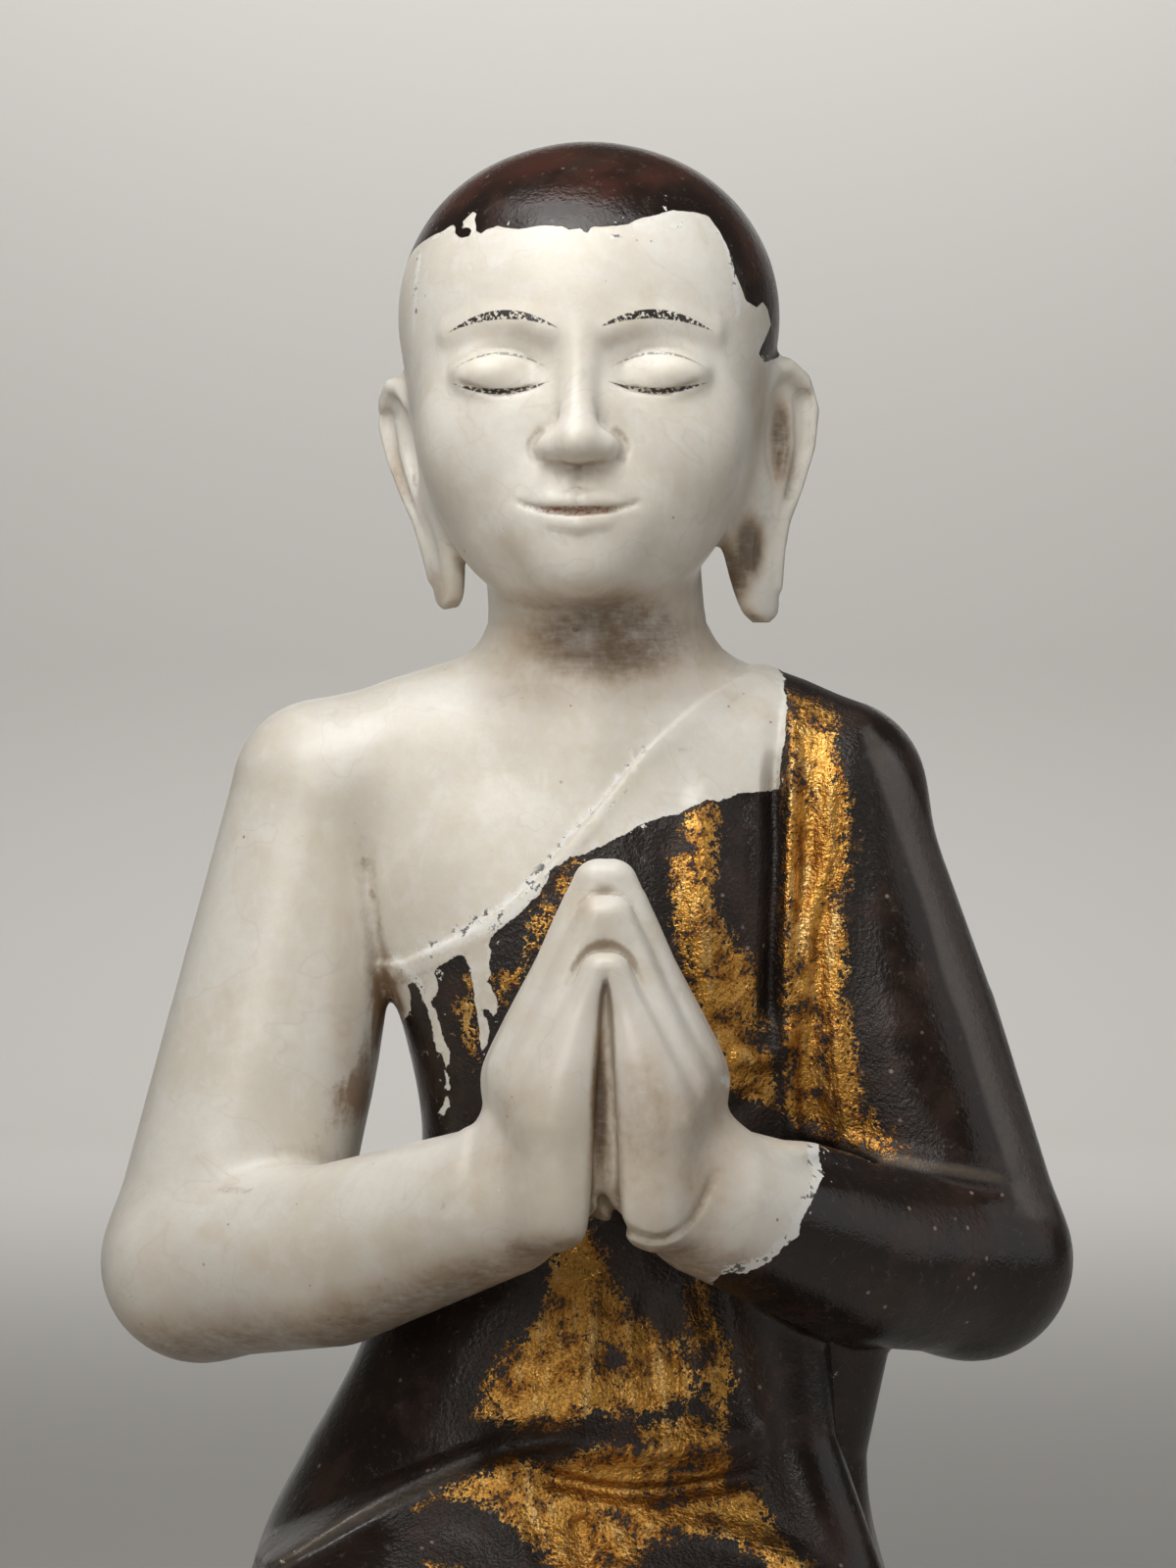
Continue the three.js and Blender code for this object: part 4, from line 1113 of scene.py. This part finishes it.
def add_layers(mesh):
    """The smooth numbers on the surface's points that the material reads."""
    points = np.empty(len(mesh.vertices) * 3, np.float32)
    mesh.vertices.foreach_get("co", points)
    points = points.reshape(-1, 3).astype(float) * 1000
    _, normals = slope(statue, points)
    normals /= np.maximum(np.linalg.norm(normals, axis=1), 1e-6)[:, None]
    facing = facing_front(points, normals)
    x, y, z = points.T
    u, v = towards_camera(x, y, z)
    # Surfaces that face down get dirt and painted shade
    underside_dirt_and_shade = lerp(ARM_UNDERSIDE_DIRT_AND_SHADE, CHIN_UNDERSIDE_DIRT_AND_SHADE, smooth(418, 430, z)) * smooth(100, 140, z)
    under = smooth(0.1, 0.9, -normals[:, 2]) * underside_dirt_and_shade
    inwards = worked_out(statue, points - RIDGE_REACH * normals)
    layers = {
        "coat": worked_out(coat_depth, points),
        "hair": worked_out(hair_depth, points),
        "gold": gold_depth(x, y, z, facing),
        "stain": mark_strength(STAINS, u, v) * facing,
        # dirt with painted shade and shadow: the marks above, and the undersides
        "grime_and_shade": np.maximum(mark_strength(GRIME_AND_SHADE_MARKS, u, v) * facing, under),
        "chalk": chalk_strength(u, v) * facing,
        "dust_and_sheen": dust_and_sheen_strength(u, v) * facing,
        "crease": enclosed(points, normals, CREASE_REACH),
        "hollow": enclosed(points, normals, HOLLOW_REACH),
        "ridge": np.clip(1 + inwards / RIDGE_REACH, 0, 1),
    }
    for name, values in layers.items():
        layer = mesh.attributes.new(name, "FLOAT", "POINT")
        layer.data.foreach_set("value", values.astype(np.float32))
    hx, hy, hz = own_frame(HEAD_AT, HEAD_TURN, x, y, z)
    at = mesh.attributes.new("head_at", "FLOAT_VECTOR", "POINT")
    at.data.foreach_set("vector", np.stack([hx, hy, hz], axis=1).astype(np.float32).ravel())


def near_coat_edge(x, y, z):
    """0 close to the edge of a coating, 1 elsewhere."""
    facing = smooth(10, -10, y)
    away = np.minimum(np.abs(coat_depth(x, y, z)), np.abs(hair_depth(x, y, z)))
    return np.minimum(away, np.abs(gold_depth(x, y, z, facing)) + 1)


# Points this close to the edge of a coating are kept when the mesh is thinned.
EDGE_BAND = 2

drawn, drawn_faces = draw()
drawn = settled(drawn)
carving = thinned(mesh_of(drawn, drawn_faces), worked_out(near_coat_edge, drawn) > EDGE_BAND)
add_layers(carving)
carving.name = "carved_monk"
carving.shade_smooth()
monk = add_object("carved_monk", carving)
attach(monk, "root")
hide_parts("kneeling_monk")


# Materials. Colours are linear red, green and blue.

MARBLE = (0.84, 0.81, 0.75)
WARM_MARBLE = (0.77, 0.72, 0.63)
PALE_MARBLE = (0.88, 0.86, 0.81)
TAN_FLECK = (0.60, 0.53, 0.42)
GREY_VEIN = (0.50, 0.45, 0.36)
WHITE_SCRATCH = (0.90, 0.885, 0.85)
RUST_SPECK = (0.24, 0.13, 0.06)
YELLOWED = (0.62, 0.49, 0.32)
CREASE_DIRT_AND_SHADE = (0.27, 0.195, 0.12)
# Soot-brown dirt that also paints shade and shadow, thin and thick, and the same on gold
THIN_SOOT_AND_SHADE = (0.42, 0.265, 0.13)
THICK_SOOT_AND_SHADE = (0.13, 0.08, 0.042)
BROWN_STAIN = (0.26, 0.14, 0.065)
RED_PAINT = (0.33, 0.06, 0.045)
BLACK_PAINT = (0.035, 0.03, 0.026)
WHITE_CHALK = (0.90, 0.89, 0.86)
LACQUER_CRUMB = (0.04, 0.028, 0.022)
LACQUER = (0.014, 0.0085, 0.0065)
THIN_LACQUER = (0.034, 0.018, 0.013)
CROWN_LACQUER = (0.055, 0.019, 0.012)
DUST = (0.15, 0.12, 0.10)
PALE_SPOT = (0.42, 0.33, 0.27)
THIN_DUST_AND_SHEEN = (0.072, 0.062, 0.058)
THICK_DUST_AND_SHEEN = (0.17, 0.135, 0.10)
GOLD = (0.86, 0.455, 0.105)
DEEP_GOLD = (0.44, 0.185, 0.034)
BRIGHT_GOLD = (0.98, 0.70, 0.30)
BROWN_GOLD = (0.22, 0.09, 0.022)
RUBBED_GOLD = (0.30, 0.12, 0.03)
# Gold with a painted highlight on its crests
PAINTED_HIGHLIGHT_GOLD = (1.0, 0.74, 0.36)
# Gold with painted shade in its hollows
PAINTED_SHADE_GOLD = (0.25, 0.11, 0.028)
SOOT_AND_SHADE_GOLD = (0.13, 0.06, 0.016)
PALE_FLOOR = (0.53, 0.515, 0.49)
WARM_WHITE = (1, 0.94, 0.86, 1)


class Graph:
    """Short names for making a node material. Sizes are in millimetres."""

    def __init__(self, name):
        self.material = bpy.data.materials.new(name)
        self.material.use_nodes = True
        self.tree = self.material.node_tree
        self.tree.nodes.clear()

    def node(self, kind, inputs=(), **values):
        node = self.tree.nodes.new(kind)
        for key, value in values.items():
            setattr(node, key, value)
        for key, value in dict(inputs).items():
            self.put(node.inputs[key], value)
        return node

    def put(self, socket, value):
        if isinstance(value, bpy.types.NodeSocket):
            self.tree.links.new(value, socket)
        elif isinstance(value, tuple) and len(value) == 3 and socket.type == "RGBA":
            socket.default_value = (*value, 1)
        else:
            socket.default_value = value

    def math(self, operation, *values):
        node = self.node("ShaderNodeMath", operation=operation)
        for socket, value in zip(node.inputs, values):
            self.put(socket, value)
        return node.outputs[0]

    def chain(self, operation, first, *others):
        for other in others:
            first = self.math(operation, first, other)
        return first

    def add(self, *values):
        return self.chain("ADD", *values)

    def less(self, first, other):
        return self.math("SUBTRACT", first, other)

    def times(self, *values):
        return self.chain("MULTIPLY", *values)

    def above(self, *values):
        return self.chain("MAXIMUM", *values)

    def layer(self, name, output="Fac"):
        return self.node("ShaderNodeAttribute", attribute_name=name).outputs[output]

    def where(self, stretch=(1, 1, 1)):
        place = self.node("ShaderNodeTexCoord").outputs["Object"]
        if stretch == (1, 1, 1):
            return place
        return self.node("ShaderNodeVectorMath", {0: place, 1: stretch}, operation="MULTIPLY").outputs[0]

    def noise(self, size, detail=3, rough=0.55, stretch=(1, 1, 1), warp=0):
        inputs = {
            "Vector": self.where(stretch), "Scale": 1000 / size, "Detail": detail, "Roughness": rough,
            "Distortion": warp,
        }
        return self.node("ShaderNodeTexNoise", inputs, noise_dimensions="3D").outputs["Fac"]

    def swing(self, noise, height):
        """A noise moved to swing about 0, by about the height either way."""
        return self.times(self.less(noise, 0.5), 3 * height)

    def spots(self, size):
        """The distance from the nearest of many scattered points, as a share of their spacing."""
        inputs = {"Vector": self.where(), "Scale": 1000 / size}
        return self.node("ShaderNodeTexVoronoi", inputs, voronoi_dimensions="3D").outputs["Distance"]

    def ramp(self, value, low, high, most=1):
        """0 at low and most at high, smoothly between."""
        inputs = {"Value": value, "From Min": low, "From Max": high, "To Max": most}
        return self.node("ShaderNodeMapRange", inputs, interpolation_type="SMOOTHSTEP").outputs["Result"]

    def mix(self, share, a, b):
        node = self.node("ShaderNodeMix", data_type="RGBA")
        self.put(node.inputs["Factor"], share)
        self.put(node.inputs[6], a)
        self.put(node.inputs[7], b)
        return node.outputs[2]

    def between(self, share, a, b):
        node = self.node("ShaderNodeMix", data_type="FLOAT")
        self.put(node.inputs["Factor"], share)
        self.put(node.inputs[2], a)
        self.put(node.inputs[3], b)
        return node.outputs[0]

    def coats(self, colour, *laid):
        """A colour with others laid over it in turn: pairs of a share and a colour."""
        for share, over in laid:
            colour = self.mix(share, colour, over)
        return colour


def painted_lines(g, grain):
    """The share of black paint on brows and lids, and of red on the lips: generic lines, worn through."""
    place = g.node("ShaderNodeSeparateXYZ", {0: g.layer("head_at", "Vector")})
    across, depth, height = [place.outputs[n] for n in range(3)]
    side = g.math("ABSOLUTE", across)
    front = g.ramp(depth, -24, -30)

    def arc(middle, reach, top, drop, thick):
        """An arched line over x, thickest in its middle."""
        off = g.math("DIVIDE", g.less(side, middle), reach)
        square = g.times(off, off)
        line = g.less(top, g.times(square, drop))
        half = g.times(g.less(1, square), thick)
        away = g.math("ABSOLUTE", g.less(height, line))
        return g.ramp(g.less(away, half), 0.25, -0.15)

    brow = arc(25, 18, 16.2, 4.6, 1.5)
    lash = arc(EYE_X, 15.5, -8.9, -2.9, 0.9)
    lid = arc(EYE_X, 14.5, 3.6, 4.2, 0.45)
    mouth = arc(0, 15, MOUTH_Z - 0.4, -1.2, 1.6)
    black = g.times(g.above(brow, lash, g.times(lid, 0.6)), g.ramp(grain, 0.40, 0.50), front)
    red = g.times(mouth, g.ramp(grain, 0.50, 0.60), front, 0.75)
    return black, red


def figure_material():
    g = Graph("carved_marble_figure")
    coat, hair, gold, stain, grime_and_shade, chalk, dust_and_sheen, crease, hollow, ridge = [g.layer(name) for name in LAYERS]
    clouds = g.noise(56, 3, 0.6, warp=0.6)
    patches = g.noise(21, 3, 0.6)
    blots = g.noise(8.5, 4, 0.62)
    flakes = g.noise(3.4, 3, 0.68)
    grain = g.noise(1.3, 2, 0.6)
    streaks = g.noise(6, 2, 0.6, (1.6, 1.6, 0.22))
    bands = g.noise(4, 2, 0.65, (0.6, 0.6, 3.2))
    spots = g.spots(8)

    # the edges of the lacquer, broken by noise
    ragged = g.add(g.swing(blots, 0.8), g.swing(flakes, 0.7))
    robe_edge_at = g.add(coat, ragged, g.swing(streaks, 0.5))
    hair_edge_at = g.add(hair, g.times(ragged, 0.4))
    edge_at = g.above(robe_edge_at, hair_edge_at)
    chips = g.ramp(g.add(flakes, g.times(ridge, 0.1), g.ramp(edge_at, 9, 0, 0.1)), 0.755, 0.77)
    coated = g.times(g.ramp(edge_at, -0.12, 0.12), g.less(1, chips))

    # ivory marble: faintly clouded, veined and scratched, with specks and brown stains, dirt and painted
    # shade in its creases and hollows, and soot-brown dirt with painted shade under the chin and arms, on
    # the hands and belly
    vein = g.math("ABSOLUTE", g.less(clouds, 0.47))
    # creases and hollows darkened: dirt, and painted shade where little light gets in
    crease_dirt_and_shade = g.add(g.times(crease, 1.3), g.times(hollow, 0.55), -0.34, g.swing(flakes, 0.25))
    streaky = g.times(g.swing(bands, 0.2), g.ramp(grime_and_shade, 0.3, 0.9))
    uneven = g.add(1, streaky, g.swing(flakes, 0.3), g.swing(patches, 0.3))
    # dirt and painted shade, streaked and uneven
    soot_and_shade = g.ramp(g.times(grime_and_shade, uneven), 0, 1)
    black, red = painted_lines(g, grain)
    beside = g.times(g.ramp(edge_at, -3.5, -0.3, 0.45), g.ramp(flakes, 0.46, 0.56))
    rubbed = g.ramp(g.add(chalk, g.swing(flakes, 0.35), g.swing(grain, 0.3)), 0.3, 0.75, 0.9)
    chalky = g.above(beside, rubbed)
    marble = g.coats(
        g.mix(g.ramp(clouds, 0.34, 0.62), MARBLE, WARM_MARBLE),
        (g.ramp(blots, 0.46, 0.70, 0.45), PALE_MARBLE),
        (g.ramp(flakes, 0.56, 0.40, 0.09), TAN_FLECK),
        (g.ramp(vein, 0.008, 0, 0.14), GREY_VEIN),
        (g.ramp(streaks, 0.62, 0.80, 0.35), WHITE_SCRATCH),
        (g.times(g.ramp(spots, 0.09, 0.045, 0.7), g.ramp(patches, 0.53, 0.60)), RUST_SPECK),
        (g.ramp(patches, 0.56, 0.74, 0.22), YELLOWED),
        (g.ramp(crease_dirt_and_shade, 0, 1, 0.7), CREASE_DIRT_AND_SHADE),
        # soot-brown dirt and painted shade
        (g.times(soot_and_shade, 0.92), g.mix(g.ramp(grime_and_shade, 0.3, 0.95), THIN_SOOT_AND_SHADE, THICK_SOOT_AND_SHADE)),
        (g.ramp(g.add(stain, g.swing(flakes, 0.35)), 0.25, 0.95, 0.75), BROWN_STAIN),
        (red, RED_PAINT),
        (black, BLACK_PAINT),
        (chalky, WHITE_CHALK),
        (
            g.times(g.ramp(chalk, 0.15, 0.6, 0.85), g.ramp(flakes, 0.555, 0.59), g.ramp(blots, 0.46, 0.52)),
            LACQUER_CRUMB,
        ),
    )

    # lacquer: brown-black, redder where it is thin and on the crown, with dust and a few pale spots, and a
    # painted grey sheen down the sleeve
    dust = g.ramp(flakes, 0.58, 0.74, 0.3)
    dust_and_sheen_share = g.times(dust_and_sheen, g.add(1, g.swing(flakes, 0.3)))
    lacquer = g.coats(
        g.mix(g.ramp(patches, 0.45, 0.68), LACQUER, THIN_LACQUER),
        (g.times(g.ramp(hair_edge_at, 3, 12), g.ramp(clouds, 0.34, 0.58)), CROWN_LACQUER),
        (dust, DUST),
        (g.times(g.ramp(spots, 0.13, 0.05, 0.6), g.ramp(patches, 0.50, 0.57)), PALE_SPOT),
        # a painted grey sheen down the sleeve, with dust at the elbow and on the crest of the thigh
        (g.ramp(dust_and_sheen, 0, 0.5), THIN_DUST_AND_SHEEN),
        (g.ramp(dust_and_sheen_share, 0.3, 1, 0.8), THICK_DUST_AND_SHEEN),
    )

    # gold leaf, worn through in flakes, dissolving into specks at its edges; painted shade in its hollows, a
    # painted highlight on its crests, and soot with painted shade over the belly
    flaky = g.add(
        g.swing(patches, 3.5), g.swing(blots, 4.5), g.swing(flakes, 4.5), g.swing(grain, 5),
        g.swing(streaks, 1.5),
    )
    laid = g.ramp(g.add(gold, flaky, g.times(crease, -2.5), g.times(ridge, 1.5)), 0.3, 1.1)
    crack = g.ramp(g.math("ABSOLUTE", g.less(patches, 0.49)), 0.0005, 0.002)
    peeled = g.add(grain, g.swing(blots, 0.32), g.swing(patches, 0.2), g.ramp(gold, 7, 0, 0.07))
    lost = g.add(
        g.times(g.add(blots, patches), 0.5),
        g.swing(flakes, 0.05), g.swing(grain, 0.04), g.swing(streaks, 0.04),
    )
    gilt = g.times(laid, g.ramp(peeled, 0.67, 0.62), crack, g.ramp(lost, 0.60, 0.575), coated)
    leaf = g.coats(
        g.mix(g.ramp(blots, 0.42, 0.64), GOLD, DEEP_GOLD),
        (g.ramp(streaks, 0.5, 0.72, 0.6), BRIGHT_GOLD),
        (g.ramp(flakes, 0.46, 0.34, 0.6), BROWN_GOLD),
        (g.ramp(lost, 0.49, 0.58, 0.7), RUBBED_GOLD),
        # a painted highlight on the crests of the gold
        (g.ramp(ridge, 0.45, 0.9), PAINTED_HIGHLIGHT_GOLD),
        # painted shade in the hollows of the gold
        (g.ramp(hollow, 0.15, 0.7, 0.75), PAINTED_SHADE_GOLD),
        # soot and painted shade on the gold over the belly
        (g.times(soot_and_shade, 0.7), SOOT_AND_SHADE_GOLD),
    )

    stone_rough = g.add(0.31, g.swing(blots, 0.05), g.times(chalky, 0.3), g.times(crease, 0.3))
    matte = g.ramp(gold, -16, -4, 0.22)
    coat_rough = g.add(0.22, g.ramp(patches, 0.45, 0.7, 0.1), g.times(dust, 0.6), matte)
    gold_rough = g.add(0.38, g.swing(flakes, 0.12))

    # heights in millimetres
    stone_height = g.add(g.swing(blots, 0.03), g.swing(grain, 0.012), g.ramp(flakes, 0.68, 0.76, -0.08))
    pitted = g.times(g.ramp(gold, -14, -3), g.add(g.swing(grain, 0.2), g.swing(flakes, 0.1)))
    coat_height = g.add(0.38, g.swing(blots, 0.10), g.swing(flakes, 0.05), g.swing(grain, 0.045), pitted)
    gold_height = g.add(0.08, g.swing(flakes, 0.12), g.swing(streaks, 0.3), g.swing(blots, 0.12))
    height = g.add(g.between(coated, stone_height, coat_height), g.times(gilt, gold_height))

    bump = g.node("ShaderNodeBump", {"Height": height, "Distance": 0.001, "Strength": 1})
    shader = g.node("ShaderNodeBsdfPrincipled", {
        "Base Color": g.coats(marble, (coated, lacquer), (gilt, leaf)),
        "Metallic": gilt,
        "Roughness": g.between(gilt, g.between(coated, stone_rough, coat_rough), gold_rough),
        "Normal": bump.outputs[0],
        "Subsurface Weight": g.times(g.less(1, coated), 0.3),
        "Subsurface Radius": (1, 0.75, 0.5),
        "Subsurface Scale": 0.004,
        "IOR": 1.5,
    })
    g.node("ShaderNodeOutputMaterial", {"Surface": shader.outputs[0]})
    return g.material


def plain_material(name, colour, roughness):
    g = Graph(name)
    shader = g.node("ShaderNodeBsdfPrincipled", {"Base Color": colour, "Roughness": roughness})
    g.node("ShaderNodeOutputMaterial", {"Surface": shader.outputs[0]})
    return g.material


carving.materials.append(figure_material())


# Floor, light and camera

# In metres
FLOOR_REACH = 4
SWEEP_RADIUS = 0.5
WALL_TOP = 2.3


def floor():
    """A pale sweep: a floor that curves up into a backdrop far behind the figure."""
    rows = [(y, 0) for y in np.linspace(-FLOOR_REACH, FLOOR_REACH - SWEEP_RADIUS, 31)]
    for turn in np.linspace(0, math.pi / 2, 16)[1:]:
        rows.append((
            FLOOR_REACH - SWEEP_RADIUS * (1 - math.sin(turn)), SWEEP_RADIUS * (1 - math.cos(turn)),
        ))
    rows += [(FLOOR_REACH, z) for z in np.linspace(SWEEP_RADIUS, WALL_TOP, 10)[1:]]
    columns = np.linspace(-FLOOR_REACH, FLOOR_REACH, 16)
    wide = len(columns)
    starts = [r * wide + c for r in range(len(rows) - 1) for c in range(wide - 1)]
    mesh = bpy.data.meshes.new("floor")
    mesh.from_pydata(
        [(x, y, z) for y, z in rows for x in columns], [],
        [(n, n + 1, n + 1 + wide, n + wide) for n in starts],
    )
    mesh.shade_smooth()
    sweep = add_object("floor", mesh)
    mesh.materials.append(plain_material("pale_floor", PALE_FLOOR, 0.8))


def area_light(name, at, aim, size, power, colour=(1, 1, 1)):
    lamp = bpy.data.lights.new(name, "AREA")
    lamp.shape = "RECTANGLE"
    lamp.size, lamp.size_y = size
    lamp.energy = power
    lamp.color = colour
    light = add_object(name, lamp)
    light.location = at
    light.rotation_euler = (Vector(aim) - Vector(at)).to_track_quat("-Z", "Y").to_euler()
    light.visible_camera = False


def sky(brightness):
    world = bpy.data.worlds.new("studio")
    world.use_nodes = True
    background = world.node_tree.nodes["Background"]
    background.inputs["Color"].default_value = WARM_WHITE
    background.inputs["Strength"].default_value = brightness
    bpy.context.scene.world = world


# Width of the camera's sensor in millimetres
SENSOR = 36


def camera():
    lens = bpy.data.cameras.new("camera")
    lens.sensor_width = SENSOR
    lens.lens = SENSOR * -CAMERA_AT[1] / PICTURE_HEIGHT
    lens.clip_start = 0.05
    eye = add_object("camera", lens)
    eye.location = [v * 0.001 for v in CAMERA_AT]
    eye.rotation_euler = (math.radians(90), 0, 0)
    bpy.context.scene.camera = eye


floor()

# Lamps: place, what it points at, size in metres, watts, colour
area_light("key", (-0.16, -0.45, 1.02), (0, -0.05, 0.45), (0.5, 0.5), 3.7, (1, 0.99, 0.965))
area_light("strip", (-0.03, -0.17, 1.12), (0, -0.1, 0.5), (0.8, 0.07), 1.0)
area_light("upper_left", (-0.5, -0.5, 1.2), (0, -0.05, 0.42), (0.7, 0.7), 0.9)
area_light("side", (1.3, -0.35, 0.75), (0, 0, 0.35), (1.4, 1.3), 3.2)
area_light("front", (-0.7, -2.2, 1.0), (0, 0, 0.3), (1.2, 1.2), 14, (1, 0.96, 0.9))
area_light("backdrop", (0, 2.6, 2.4), (0, 4, 0.7), (2.8, 1), 66)
sky(0.07)
bpy.context.scene.view_settings.view_transform = "Standard"
camera()
